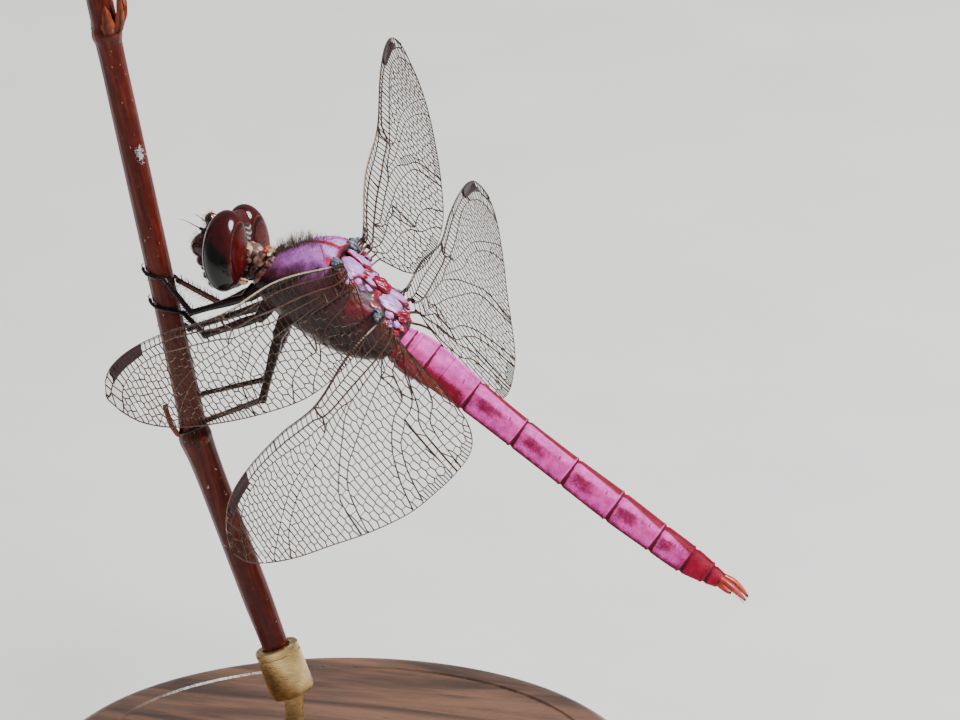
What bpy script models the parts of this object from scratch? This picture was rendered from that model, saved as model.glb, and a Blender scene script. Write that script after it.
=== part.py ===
"""Roseate skimmer dragonfly, life size, gripping a cut twig that a small display stand holds.

Every size below is in millimetres and is turned to metres when a mesh is made.
World frame: origin at the centre of the stand's underside, +Z up, the insect's head
towards -X and its left side towards -Y.
Insect frame: origin midway between the two forewing roots, +X to the tail tip,
-Y to the insect's left, +Z out of its back. The whole frame is tipped nose up.
"""

import math

import bmesh
import bpy
from mathutils import Matrix, Vector

MM = 0.001
SEAM = 0.1                      # clearance left between neighbouring solids

# Pose of the insect and of its head
BODY_ORIGIN = (1.0, 0.0, 51.5)
BODY_PITCH = math.radians(36.7)
HEAD_CENTRE = (-8.2, 0.0, -6.15)
HEAD_PITCH = math.radians(-6.0)
HEAD_TURN = math.radians(-13.0)     # towards the insect's right

# Display stand
BASE_RADIUS = 27.0
BASE_HEIGHT = 6.0
BASE_BEVEL = 0.8
ROD_RADIUS = 0.8
CUP_RADIUS = 1.9
CUP_DEPTH = 3.6
CUP_FLOOR = 0.9

# Twig, placed in upright axes from the insect's own origin
TWIG_KINK = Vector((-13.6, 0.0, -17.6))
TWIG_UPPER_LEAN = math.radians(11.8)
TWIG_LOWER_LEAN = math.radians(20.5)
TWIG_UPPER_LENGTH = 40.0
TWIG_LOWER_LENGTH = 22.8
TWIG_RADIUS = 1.12
TWIG_PROFILE = (                # (distance up from the kink, radius): a node at the kink, a bud on top
    (-TWIG_LOWER_LENGTH, TWIG_RADIUS), (-2.5, TWIG_RADIUS), (-0.8, 1.45), (0.0, 1.45), (0.8, 1.2),
    (2.5, TWIG_RADIUS), (36.5, 1.2), (38.0, 1.5), (TWIG_UPPER_LENGTH, 1.1),
)

# Legs
FEMUR_RADII = {"front": (0.40, 0.30), "middle": (0.45, 0.34), "hind": (0.50, 0.40)}
TIBIA_RADIUS = 0.26
TARSUS_RADIUS = 0.25
COXA_RADIUS = 0.62

# Wings
WING_THICKNESS = 0.5
WING_ROOT_SIDE = 3.25
FOREWING_LENGTH = 42.5
HINDWING_LENGTH = 41.0
CHORD_STEPS = 5
SPAN_STATIONS = (0.0, 0.02, 0.06, 0.12, 0.2, 0.3, 0.4, 0.5, 0.6, 0.7, 0.79, 0.87, 0.93, 0.97, 0.99, 1.0)

# Edge of each wing: (share of the span, distance ahead of the root line)
FOREWING_LEAD = ((0.0, 0.0), (0.25, 0.6), (0.5, -0.4), (0.7, -0.2), (0.83, -0.4), (0.93, -1.1),
                 (0.98, -2.1), (1.0, -3.2))
FOREWING_TRAIL = ((0.0, -2.4), (0.05, -5.6), (0.12, -7.1), (0.25, -8.5), (0.4, -9.4), (0.55, -9.3),
                  (0.7, -8.7), (0.85, -7.6), (0.94, -6.2), (0.985, -4.6), (1.0, -3.6))
HINDWING_LEAD = ((0.0, 0.0), (0.2, 0.0), (0.42, -0.9), (0.6, -0.4), (0.8, -0.4), (0.92, -1.1),
                 (0.98, -2.5), (1.0, -3.7))
HINDWING_TRAIL = ((0.0, -8.0), (0.02, -10.7), (0.08, -12.6), (0.18, -13.1), (0.28, -13.0),
                  (0.4, -12.6), (0.55, -11.3), (0.68, -9.8), (0.82, -8.2), (0.93, -6.5),
                  (0.98, -5.3), (1.0, -4.3))

# Pose of each wing: degrees swept forward, lowered at the tip and turned up at the leading edge,
# the height of its root, then its washout in degrees and how far its tip bends up
WING_POSE = {
    "forewing_left": (14.4, 2.3, 14.8, 0.1, 7.2, 0.1),
    "forewing_right": (15.3, -0.8, 15.0, 0.35, 12.5, -0.6),
    "hindwing_left": (2.4, 6.9, 16.1, -1.4, 12.0, 1.2),
    "hindwing_right": (3.4, 5.5, 21.5, -1.15, 9.8, -0.2),
}
WING_KINDS = {
    # kind: (length, root distance back, leading edge, trailing edge, upturn at the rear)
    "forewing": (FOREWING_LENGTH, 0.0, FOREWING_LEAD, FOREWING_TRAIL, 1.0),
    "hindwing": (HINDWING_LENGTH, 5.4, HINDWING_LEAD, HINDWING_TRAIL, 1.1),
}

# Thorax sections: (distance back, top, bottom, half width at the shoulder, greatest half width)
MESOTHORAX_SECTIONS = (
    (-5.0, -4.5, -7.0, 0.9, 1.6),
    (-4.5, -3.5, -7.6, 1.5, 2.5),
    (-3.4, -1.9, -7.9, 2.0, 3.3),
    (-2.2, -0.5, -8.0, 2.3, 3.7),
    (-1.0, 0.8, -8.0, 2.6, 3.9),
    (-0.2, 0.9, -8.0, 2.9, 3.95),
    (1.0, 0.5, -7.9, 3.0, 3.9),
    (2.4, 0.5, -7.8, 2.8, 3.8),
)
METATHORAX_SECTIONS = (
    (2.5, 0.5, -7.8, 2.8, 3.8),
    (3.7, 0.1, -7.5, 2.8, 3.6),
    (5.0, -0.6, -7.1, 2.9, 3.4),
    (6.2, -1.1, -6.5, 2.6, 3.0),
    (7.2, -1.6, -5.8, 1.9, 2.4),
    (7.7, -1.9, -5.3, 1.5, 2.0),
)

# Abdomen outline: (distance back, ridge, keel, underside, half width)
ABDOMEN_OUTLINE = (
    (7.8, -1.95, -4.2, -5.1, 1.85),
    (9.0, -1.6, -4.3, -5.3, 2.1),
    (10.6, -1.45, -4.3, -5.2, 2.0),
    (12.2, -1.5, -4.2, -4.8, 1.75),
    (15.1, -1.65, -4.05, -4.4, 1.5),
    (20.2, -1.7, -3.9, -4.2, 1.45),
    (25.5, -1.55, -3.75, -4.05, 1.5),
    (30.2, -1.3, -3.65, -4.0, 1.5),
    (34.6, -1.2, -3.4, -3.8, 1.4),
    (37.7, -1.1, -3.2, -3.6, 1.2),
    (39.8, -1.2, -2.7, -3.1, 0.95),
    (41.0, -1.35, -2.3, -2.7, 0.7),
)
ABDOMEN_JOINTS = (7.8, 8.4, 10.6, 15.1, 20.2, 25.5, 30.2, 34.6, 37.7, 39.8, 41.0)

COLOURS = {
    "eye": ((0.05, 0.006, 0.008), 0.12, 0.0),
    "face": ((0.11, 0.012, 0.012), 0.25, 0.0),
    "occiput": ((0.16, 0.10, 0.09), 0.6, 0.0),
    "thorax": ((0.30, 0.13, 0.27), 0.55, 0.0),
    "abdomen": ((0.66, 0.10, 0.25), 0.5, 0.0),
    "tail": ((0.50, 0.03, 0.05), 0.45, 0.0),
    "leg": ((0.03, 0.012, 0.010), 0.35, 0.0),
    "wing": ((0.62, 0.55, 0.46), 0.3, 0.0),
    "twig": ((0.17, 0.03, 0.025), 0.4, 0.0),
    "wood": ((0.10, 0.05, 0.03), 0.5, 0.0),
    "brass": ((0.70, 0.50, 0.22), 0.3, 1.0),
}


# ---------------------------------------------------------------- scene and materials

def clear_scene():
    for obj in list(bpy.data.objects):
        bpy.data.objects.remove(obj, do_unlink=True)


def new_collection(name):
    collection = bpy.data.collections.new(name)
    bpy.context.scene.collection.children.link(collection)
    return collection


def make_materials():
    materials = {}
    for name, (colour, roughness, metallic) in COLOURS.items():
        material = bpy.data.materials.new(name)
        material.use_nodes = True
        shader = material.node_tree.nodes["Principled BSDF"]
        shader.inputs["Base Color"].default_value = (*colour, 1.0)
        shader.inputs["Roughness"].default_value = roughness
        shader.inputs["Metallic"].default_value = metallic
        material.diffuse_color = (*colour, 1.0)
        materials[name] = material
    return materials


clear_scene()
PARTS = new_collection("dragonfly_on_stand")
CUTTERS = new_collection("cutters")
MATERIALS = make_materials()


def add_empty(name, location, pitch, turn=0.0, parent=None):
    empty = bpy.data.objects.new(name, None)
    empty.location = Vector(location) * MM
    empty.rotation_euler = (0.0, pitch, turn)
    empty.parent = parent
    PARTS.objects.link(empty)
    return empty


def add_object(name, mesh, material, parent=None):
    obj = bpy.data.objects.new(name, mesh)
    mesh.materials.append(MATERIALS[material])
    obj.parent = parent
    PARTS.objects.link(obj)
    return obj


def mesh_from(bm, name, smooth=True):
    bmesh.ops.recalc_face_normals(bm, faces=bm.faces)
    bm.transform(Matrix.Scale(MM, 4))
    mesh = bpy.data.meshes.new(name)
    bm.to_mesh(mesh)
    bm.free()
    if smooth:
        mesh.shade_smooth()
        mesh.set_sharp_from_angle(angle=math.radians(40.0))
    return mesh


# ---------------------------------------------------------------- shape helpers

def curve_value(points, x):
    """Height at x of the smooth curve (Catmull-Rom in x) through the points."""
    last = len(points) - 1
    i = 0
    while i < last - 1 and x > points[i + 1][0]:
        i += 1
    (x0, y0), (x1, y1) = points[i], points[i + 1]
    before = points[max(i - 1, 0)]
    after = points[min(i + 2, last)]
    step = x1 - x0
    slope0 = (y1 - before[1]) / (x1 - before[0])
    slope1 = (after[1] - y0) / (after[0] - x0)
    t = (x - x0) / step
    t2, t3 = t * t, t * t * t
    return (y0 * (2 * t3 - 3 * t2 + 1) + slope0 * step * (t3 - 2 * t2 + t)
            + y1 * (3 * t2 - 2 * t3) + slope1 * step * (t3 - t2))


def loft(rings):
    """A closed body through rings of equally many points, each ring flat."""
    bm = bmesh.new()
    loops = [[bm.verts.new(point) for point in ring] for ring in rings]
    for near, far in zip(loops, loops[1:]):
        for i in range(len(near)):
            j = (i + 1) % len(near)
            bm.faces.new((near[i], near[j], far[j], far[i]))
    bm.faces.new(loops[0])
    bm.faces.new(list(reversed(loops[-1])))
    return bm


def ball(centre, radii, segments=20, rings=12):
    bm = bmesh.new()
    bmesh.ops.create_uvsphere(bm, u_segments=segments, v_segments=rings, radius=1.0)
    bm.transform(Matrix.LocRotScale(Vector(centre), None, Vector(radii)))
    return bm


def add_tube(name, points, radii, material, parent):
    """A round bar along the points, with a radius for each one and filled ends."""
    curve = bpy.data.curves.new(name, "CURVE")
    curve.dimensions = "3D"
    curve.bevel_depth = MM
    curve.bevel_resolution = 2
    curve.use_fill_caps = True
    spline = curve.splines.new("POLY")
    spline.points.add(len(points) - 1)
    for target, point, radius in zip(spline.points, points, radii):
        target.co = (*(Vector(point) * MM), 1.0)
        target.radius = radius
    return add_object(name, curve, material, parent)


def add_cutter(name, mesh, parent):
    cutter = bpy.data.objects.new(name, mesh)
    cutter.parent = parent
    cutter.hide_render = True
    cutter.display_type = "WIRE"
    CUTTERS.objects.link(cutter)
    return cutter


def cut(obj, *cutters):
    for cutter in cutters:
        modifier = obj.modifiers.new(cutter.name, "BOOLEAN")
        modifier.operation = "DIFFERENCE"
        modifier.object = cutter


# ---------------------------------------------------------------- head

EYE_CENTRE = (0.15, 2.25, -0.25)
EYE_RADII = (2.1, 2.05, 3.4)
EYE_TILT = math.radians(16.0)       # each eye leans in, so that the two meet on top
EYE_SEAM = 0.05
EYE_BACK = 1.45
HEAD_LUMPS = {
    # name: (centre, radii, material), in the order in which each one yields to those before it
    "vertex": ((-1.9, 0.0, 1.95), (0.55, 0.7, 0.6), "face"),
    "frons": ((-2.05, 0.0, 0.0), (1.65, 1.75, 1.3), "face"),
    "clypeus": ((-1.5, 0.0, -1.6), (1.4, 1.75, 1.15), "face"),
    "mouthparts": ((-0.9, 0.0, -2.75), (1.5, 1.7, 1.1), "face"),
    "head": ((0.75, 0.0, -0.2), (1.5, 3.95, 3.25), "occiput"),
}
NAPE_HOLLOW = ((3.65, 0.0, -0.7), (2.7, 2.7, 2.7))
ANTENNA_ROOT = (-2.35, 0.75, 1.75)
ANTENNA_TIP = (-3.9, 1.3, 2.6)


def slice_flat(bm, point, outward):
    """Cut away what lies beyond a plane and close the opening with one flat face."""
    everything = bm.verts[:] + bm.edges[:] + bm.faces[:]
    sliced = bmesh.ops.bisect_plane(bm, geom=everything, plane_co=point, plane_no=outward,
                                    clear_outer=True)
    rim = [item for item in sliced["geom_cut"] if isinstance(item, bmesh.types.BMEdge)]
    bmesh.ops.contextual_create(bm, geom=rim)


def eye_mesh(side, grow):
    """One eye, flat where it meets the other on top of the head and where the nape backs it."""
    bm = ball((0.0, 0.0, 0.0), [radius + grow for radius in EYE_RADII])
    centre = Vector((EYE_CENTRE[0], side * EYE_CENTRE[1], EYE_CENTRE[2]))
    bm.transform(Matrix.Translation(centre) @ Matrix.Rotation(side * EYE_TILT, 4, "X"))
    slice_flat(bm, Vector((0.0, side * (EYE_SEAM - grow), 0.0)), Vector((0.0, -side, 0.0)))
    slice_flat(bm, Vector((EYE_BACK + grow, 0.0, 0.0)), Vector((1.0, 0.0, 0.0)))
    return mesh_from(bm, "eye")


def build_head(frame):
    cutters = []
    for name, side in (("left", -1), ("right", 1)):
        add_object("eye_" + name, eye_mesh(side, 0.0), "eye", frame)
        cutters.append(add_cutter("eye_space_" + name, eye_mesh(side, SEAM), frame))
    for name, (centre, radii, material) in HEAD_LUMPS.items():
        lump = add_object(name, mesh_from(ball(centre, radii), name), material, frame)
        cut(lump, *cutters)
        grown = ball(centre, [radius + SEAM for radius in radii])
        cutters.append(add_cutter(name + "_space", mesh_from(grown, name), frame))
    hollow = add_cutter("nape_hollow", mesh_from(ball(*NAPE_HOLLOW), "nape_hollow"), frame)
    cut(bpy.data.objects["head"], hollow)
    for name, side in (("left", -1), ("right", 1)):
        root = Vector((ANTENNA_ROOT[0], side * ANTENNA_ROOT[1], ANTENNA_ROOT[2]))
        tip = Vector((ANTENNA_TIP[0], side * ANTENNA_TIP[1], ANTENNA_TIP[2]))
        start = root.lerp(tip, 0.12)
        add_tube("antenna_" + name, (start, start.lerp(tip, 0.3), tip), (0.25, 0.25, 0.2), "leg", frame)


# ---------------------------------------------------------------- trunk

PROTHORAX_CENTRE = (-5.55, 0.0, -5.6)
PROTHORAX_RADII = (0.45, 1.2, 1.1)
NECK_ENDS = ((-6.12, 0.0, -5.65), (-6.5, 0.0, -5.55))
NECK_RADII = (0.55, 0.45)
THORAX_PROFILE = ((0.0, 0.0), (0.03, 0.45), (0.07, 1.0), (0.25, 1.4), (0.5, 2.0), (0.75, 1.72),
                  (0.92, 1.15), (1.0, 0.5))


def thorax_ring(section):
    """Points round one section: widths above 1 run from the shoulder to the greatest width."""
    back, top, bottom, shoulder, widest = section
    half = []
    for depth, width in THORAX_PROFILE:
        if depth <= 0.07:
            reach = width * shoulder
        elif depth <= 0.5:
            reach = shoulder + (width - 1.0) * (widest - shoulder)
        else:
            reach = widest * width / 2.0
        half.append((reach, top + depth * (bottom - top)))
    right = [(back, reach, height) for reach, height in half]
    left = [(back, -reach, height) for reach, height in reversed(half[1:])]
    return right + left


def build_trunk(frame):
    add_object("mesothorax", mesh_from(loft([thorax_ring(s) for s in MESOTHORAX_SECTIONS]), "mesothorax"),
               "thorax", frame)
    add_object("metathorax", mesh_from(loft([thorax_ring(s) for s in METATHORAX_SECTIONS]), "metathorax"),
               "thorax", frame)
    prothorax = ball(PROTHORAX_CENTRE, PROTHORAX_RADII, segments=16, rings=10)
    add_object("prothorax", mesh_from(prothorax, "prothorax"), "occiput", frame)
    add_tube("neck", NECK_ENDS, NECK_RADII, "occiput", frame)


# ---------------------------------------------------------------- abdomen

ABDOMEN_STEP = 1.8              # spacing of the sections
CERCUS_PATH = ((41.15, 0.38, -1.75), (42.0, 0.55, -1.65), (42.9, 0.5, -1.8), (43.5, 0.4, -2.0))
CERCUS_RADII = (0.25, 0.30, 0.27, 0.16)
EPIPROCT_ENDS = ((41.15, 0.0, -2.35), (42.3, 0.0, -2.4))
EPIPROCT_RADII = (0.24, 0.14)


def outline_at(back, column):
    return curve_value([(row[0], row[column]) for row in ABDOMEN_OUTLINE], back)


def abdomen_ring(back):
    """A three-cornered section: a ridge on top, a keel down each side, a shallow belly."""
    ridge = outline_at(back, 1)
    keel = outline_at(back, 2)
    belly = outline_at(back, 3)
    width = outline_at(back, 4)
    drop = ridge - keel
    half = [(0.0, ridge), (0.28 * width, ridge - 0.16 * drop), (0.62 * width, ridge - 0.40 * drop),
            (0.88 * width, ridge - 0.70 * drop), (width, keel), (0.72 * width, keel * 0.4 + belly * 0.6),
            (0.3 * width, belly)]
    right = [(back, reach, height) for reach, height in half]
    left = [(back, -reach, height) for reach, height in reversed(half[1:])]
    return right + left


def build_abdomen(frame):
    pairs = zip(ABDOMEN_JOINTS, ABDOMEN_JOINTS[1:])
    for number, (start, end) in enumerate(pairs, start=1):
        steps = max(1, round((end - start) / ABDOMEN_STEP))
        front = start + SEAM / 2
        length = end - start - SEAM
        stations = [front + length * i / steps for i in range(steps + 1)]
        name = f"abdomen_{number:02d}"
        material = "tail" if number > 7 else "abdomen"
        add_object(name, mesh_from(loft([abdomen_ring(s) for s in stations]), name), material, frame)
    for name, side in (("left", -1), ("right", 1)):
        path = [(back, side * reach, height) for back, reach, height in CERCUS_PATH]
        add_tube("cercus_" + name, path, CERCUS_RADII, "tail", frame)
    add_tube("epiproct", EPIPROCT_ENDS, EPIPROCT_RADII, "tail", frame)


# ---------------------------------------------------------------- wings

def wing_height(name, share, ahead):
    """Rise of the wing's middle surface off its root plane: an upturned rear, a turned and bent tip."""
    upturn = WING_KINDS[name.split("_")[0]][4]
    washout, bend = WING_POSE[name][4:]
    return upturn * (ahead / 10.0) ** 2 + ahead * math.sin(math.radians(washout) * share) + bend * share ** 2


def wing_axes(name):
    """Span, chord and normal directions of a posed wing in the insect's frame."""
    sweep, lowered, twist = (math.radians(angle) for angle in WING_POSE[name][:3])
    side = -1.0 if name.endswith("left") else 1.0
    span = Vector((-math.sin(sweep) * math.cos(lowered), side * math.cos(sweep) * math.cos(lowered),
                   -math.sin(lowered)))
    ahead = Vector((-1.0, 0.0, 0.0))
    ahead = (ahead - span * ahead.dot(span)).normalized()
    up = ahead.cross(span) * -side
    chord = ahead * math.cos(twist) + up * math.sin(twist)
    normal = chord.cross(span) * -side
    return span, chord, normal


def build_wing(name, frame):
    kind = name.split("_")[0]
    length, root_back, lead, trail, _ = WING_KINDS[kind]
    side = -1.0 if name.endswith("left") else 1.0
    root = Vector((root_back, side * WING_ROOT_SIDE, WING_POSE[name][3]))
    span_axis, chord_axis, normal = wing_axes(name)
    bm = bmesh.new()
    grid = []
    for share in SPAN_STATIONS:
        front = curve_value(lead, share)
        rear = curve_value(trail, share)
        row = []
        for step in range(CHORD_STEPS + 1):
            ahead = front + (rear - front) * step / CHORD_STEPS
            height = wing_height(name, share, ahead)
            row.append(bm.verts.new(root + span_axis * share * length + chord_axis * ahead + normal * height))
        grid.append(row)
    for near, far in zip(grid, grid[1:]):
        for i in range(CHORD_STEPS):
            bm.faces.new((near[i], near[i + 1], far[i + 1], far[i]))
    obj = add_object(name, mesh_from(bm, name), "wing", frame)
    shell = obj.modifiers.new("thickness", "SOLIDIFY")
    shell.thickness = WING_THICKNESS * MM
    shell.offset = 0.0


# ---------------------------------------------------------------- twig and legs

def twig_axis(distance):
    """Centre of the twig at a distance along it from its kink, positive upwards."""
    lean = TWIG_UPPER_LEAN if distance > 0 else TWIG_LOWER_LEAN
    return TWIG_KINK + Vector((-math.sin(lean), 0.0, math.cos(lean))) * distance


def grip_point(height, turn, side, reach):
    """A point held against the twig: its height below the insect, its turn from the tail side."""
    lean = TWIG_UPPER_LEAN
    centre = twig_axis((height - TWIG_KINK.z) / math.cos(lean))
    outward = Vector((math.cos(lean), 0.0, math.sin(lean)))
    sideways = Vector((0.0, side, 0.0))
    angle = math.radians(turn)
    return centre + (outward * math.cos(angle) + sideways * math.sin(angle)) * reach


LEGS = {
    # name: (coxa, hip, knee) in the insect's frame, then (ankle height, claw height, start and end turns)
    "front_left": ((-4.3, -0.9, -7.75), (-4.5, -1.5, -8.5), (-7.3, -2.6, -12.3), (-3.4, -2.5, 60, 165)),
    "middle_left": ((-2.7, -1.2, -8.1), (-2.6, -2.0, -8.9), (-5.2, -3.2, -12.8), (-6.7, -5.2, 5, 165)),
    "hind_left": ((-0.8, -1.4, -8.1), (-0.5, -2.2, -8.9), (1.9, -4.2, -13.6), (-16.1, -17.0, 5, 165)),
    "front_right": ((-4.3, 0.9, -7.75), (-4.4, 1.5, -8.6), (-5.9, 2.6, -12.3), (-4.0, -3.6, 10, 150)),
    "middle_right": ((-2.7, 1.2, -8.1), (-2.6, 2.0, -8.9), (-4.9, 3.2, -13.3), (-8.3, -7.6, 10, 150)),
    "hind_right": ((-0.8, 1.4, -8.1), (-0.7, 2.2, -8.9), (1.0, 3.2, -15.4), (-13.9, -15.2, 10, 150)),
}
TARSUS_STEPS = 6


def build_leg(name, frame, to_frame):
    coxa, hip, knee, (ankle_height, claw_height, first_turn, last_turn) = LEGS[name]
    side = -1.0 if name.endswith("left") else 1.0
    thick, thin = FEMUR_RADII[name.split("_")[0]]
    coxa, hip, knee = Vector(coxa), Vector(hip), Vector(knee)
    reach = TWIG_RADIUS + TARSUS_RADIUS + SEAM
    foot = []
    for step in range(TARSUS_STEPS + 1):
        share = step / TARSUS_STEPS
        turn = first_turn + (last_turn - first_turn) * share
        height = ankle_height + (claw_height - ankle_height) * share
        foot.append(to_frame @ grip_point(height, turn, side, reach))
    ankle = foot[0]
    limb = "leg_" + name
    down = (hip - coxa).normalized()
    add_tube(limb + "_coxa", (coxa, hip - down * 0.1), (COXA_RADIUS, thick), "leg", frame)
    along = (knee - hip).normalized()
    start = hip + along * (SEAM + 0.15)
    add_tube(limb + "_femur", (start, start.lerp(knee, 0.35), knee - along * 0.1), (thick * 0.8, thick, thin),
             "leg", frame)
    shin = (ankle - knee).normalized()
    bend = SEAM + TIBIA_RADIUS + 0.1
    add_tube(limb + "_tibia", (knee + shin * bend, ankle - shin * bend), (TIBIA_RADIUS, TIBIA_RADIUS),
             "leg", frame)
    add_tube(limb + "_tarsus", foot, [TARSUS_RADIUS] * len(foot), "leg", frame)


def build_twig(origin):
    """A leaning twig, thicker at its node, where it bends, and at its budded top."""
    points = [Vector(origin) + twig_axis(distance) for distance, _ in TWIG_PROFILE]
    add_tube("twig", points, [radius for _, radius in TWIG_PROFILE], "twig", None)


# ---------------------------------------------------------------- stand

def cylinder(radius, depth, segments, name):
    bm = bmesh.new()
    bmesh.ops.create_cone(bm, cap_ends=True, segments=segments, radius1=radius, radius2=radius, depth=depth)
    return mesh_from(bm, name)


def build_stand(origin):
    base = add_object("stand_base", cylinder(BASE_RADIUS, BASE_HEIGHT, 56, "stand_base"), "wood")
    base.location = (0.0, 0.0, BASE_HEIGHT / 2 * MM)
    rounding = base.modifiers.new("rounding", "BEVEL")
    rounding.width = BASE_BEVEL * MM
    rounding.segments = 2
    rounding.limit_method = "ANGLE"

    foot = Vector(origin) + twig_axis(-TWIG_LOWER_LENGTH)
    along = Vector((-math.sin(TWIG_LOWER_LEAN), 0.0, math.cos(TWIG_LOWER_LEAN)))
    cup_length = CUP_DEPTH + CUP_FLOOR
    cup_centre = foot + along * (cup_length / 2 - CUP_FLOOR - SEAM)
    rod_bottom = BASE_HEIGHT + SEAM
    rod_top = cup_centre.z - 0.5 * cup_length * math.cos(TWIG_LOWER_LEAN) + 0.4
    rod_x = cup_centre.x + 0.5 * cup_length * math.sin(TWIG_LOWER_LEAN)

    rod = add_object("stand_rod", cylinder(ROD_RADIUS, rod_top - rod_bottom, 20, "stand_rod"), "brass")
    rod.location = Vector((rod_x, 0.0, (rod_top + rod_bottom) / 2)) * MM
    cup = add_cutter("cup_body", cylinder(CUP_RADIUS, cup_length, 24, "cup_body"), None)
    cup.location = cup_centre * MM
    cup.rotation_euler = (0.0, -TWIG_LOWER_LEAN, 0.0)
    join = rod.modifiers.new("cup", "BOOLEAN")
    join.operation = "UNION"
    join.object = cup
    bore_length = CUP_DEPTH + 2.0
    bore = add_cutter("cup_bore", cylinder(TWIG_RADIUS + SEAM, bore_length, 24, "cup_bore"), None)
    bore.location = (foot + along * (bore_length / 2 - SEAM)) * MM
    bore.rotation_euler = cup.rotation_euler
    cut(rod, bore)


# ---------------------------------------------------------------- the whole model

def build():
    body = add_empty("insect_frame", BODY_ORIGIN, BODY_PITCH)
    head = add_empty("head_frame", HEAD_CENTRE, HEAD_PITCH - BODY_PITCH, HEAD_TURN, body)
    build_head(head)
    build_trunk(body)
    build_abdomen(body)
    for name in WING_POSE:
        build_wing(name, body)
    to_frame = Matrix.Rotation(-BODY_PITCH, 4, "Y")
    for name in LEGS:
        build_leg(name, body, to_frame)
    build_twig(BODY_ORIGIN)
    build_stand(BODY_ORIGIN)


build()
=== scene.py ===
import math
import random
from collections import namedtuple

import bmesh
import bpy
import numpy as np
from bpy.props import FloatProperty, FloatVectorProperty, IntProperty, PointerProperty
from mathutils import Euler, Matrix, Vector


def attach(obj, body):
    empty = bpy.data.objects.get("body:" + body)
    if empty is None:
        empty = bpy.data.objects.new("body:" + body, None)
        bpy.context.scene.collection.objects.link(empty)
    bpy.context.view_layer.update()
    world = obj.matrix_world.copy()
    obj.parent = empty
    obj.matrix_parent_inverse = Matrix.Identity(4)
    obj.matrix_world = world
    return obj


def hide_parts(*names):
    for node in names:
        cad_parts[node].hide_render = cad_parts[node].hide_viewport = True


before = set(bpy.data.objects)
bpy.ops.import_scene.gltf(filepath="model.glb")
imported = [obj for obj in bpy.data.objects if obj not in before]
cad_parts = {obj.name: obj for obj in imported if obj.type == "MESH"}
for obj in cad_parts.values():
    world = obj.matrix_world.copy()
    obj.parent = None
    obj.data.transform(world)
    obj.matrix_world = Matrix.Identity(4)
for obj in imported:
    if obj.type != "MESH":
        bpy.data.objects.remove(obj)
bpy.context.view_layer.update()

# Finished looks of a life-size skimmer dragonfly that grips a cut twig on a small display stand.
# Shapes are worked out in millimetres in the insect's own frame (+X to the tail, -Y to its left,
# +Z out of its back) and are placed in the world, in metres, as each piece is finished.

bl_info = {
    "name": "Skimmer Dragonfly Specimen",
    "version": (1, 0, 0),
    "blender": (4, 5, 0),
    "location": "3D View > Sidebar > Dragonfly",
    "description": "Builds a museum model of a skimmer dragonfly on a twig, with its stand and stage",
    "category": "Add Mesh",
}

MM = 0.001
SIDES = (("left", -1.0), ("right", 1.0))
MARKS = ("bloom", "red", "pale", "dark")    # what each point of a marked piece says of its colour
PATCH = 0.003                               # size of one hair's patch on the coat's own map
SAME_POINT = 1e-4                           # points of a piece nearer than this, in millimetres, are one

# Pose of the insect, shared with the solids
BODY_ORIGIN = Vector((1.0, 0.0, 51.5))
BODY_PITCH = math.radians(36.7)
HEAD_CENTRE = Vector((-8.2, 0.0, -6.15))
HEAD_PITCH = math.radians(-6.0)
HEAD_TURN = math.radians(-13.0)
TWIG_RADIUS = 1.12

WORLD = Matrix.Identity(4)
INSECT = Matrix.Translation(BODY_ORIGIN) @ Matrix.Rotation(BODY_PITCH, 4, "Y")
HEAD = (INSECT @ Matrix.Translation(HEAD_CENTRE)
        @ Euler((0.0, HEAD_PITCH - BODY_PITCH, HEAD_TURN)).to_matrix().to_4x4())


# ---------------------------------------------------------------- settings

def length(label, about, millimetres):
    return FloatProperty(name=label, description=about, default=millimetres * MM, min=0.0,
                         unit="LENGTH", subtype="DISTANCE", precision=5)


def colour(label, about, value):
    return FloatVectorProperty(name=label, description=about, default=value, size=3, min=0.0, max=1.0,
                               subtype="COLOR")


def power(label, about, watts):
    return FloatProperty(name=label, description=about, default=watts, min=0.0, unit="POWER")


class StageSettings(bpy.types.PropertyGroup):
    floor_colour: colour("Floor", "Colour of the plain floor", (0.72, 0.71, 0.69))
    key_power: power("Key light", "Power of the large soft light over the left side", 9.0)
    fill_power: power("Fill light", "Power of the soft light in front of the face", 1.3)
    rim_power: power("Rim light", "Power of the soft light behind the specimen", 2.2)


class StandSettings(bpy.types.PropertyGroup):
    wood_colour: colour("Wood", "Main colour of the turned walnut base", (0.085, 0.040, 0.022))
    brass_colour: colour("Brass", "Colour of the rod and its cup", (0.72, 0.50, 0.22))


class TwigSettings(bpy.types.PropertyGroup):
    bark_colour: colour("Bark", "Main colour of the smooth young bark", (0.064, 0.0068, 0.0034))
    radius: length("Twig radius", "Radius of the twig between its nodes", TWIG_RADIUS)


class BodySettings(bpy.types.PropertyGroup):
    bloom_colour: colour("Thorax bloom", "Waxy violet bloom over the front of the thorax",
                         (0.37, 0.105, 0.40))
    rose_colour: colour("Abdomen bloom", "Rose-pink bloom of the abdomen", (0.60, 0.050, 0.30))
    red_colour: colour("Red ridges", "Red of the ridges, the joints and the tail", (0.31, 0.006, 0.026))
    dark_colour: colour("Dark sides", "Black-maroon of the sides of the thorax", (0.012, 0.005, 0.007))


class HeadSettings(bpy.types.PropertyGroup):
    eye_colour: colour("Eye", "Dark maroon of the upper part of the eyes", (0.034, 0.0035, 0.004))
    eye_rear_colour: colour("Rear of the eye", "Deep red of the rear faces of the eyes",
                            (0.062, 0.004, 0.003))


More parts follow.
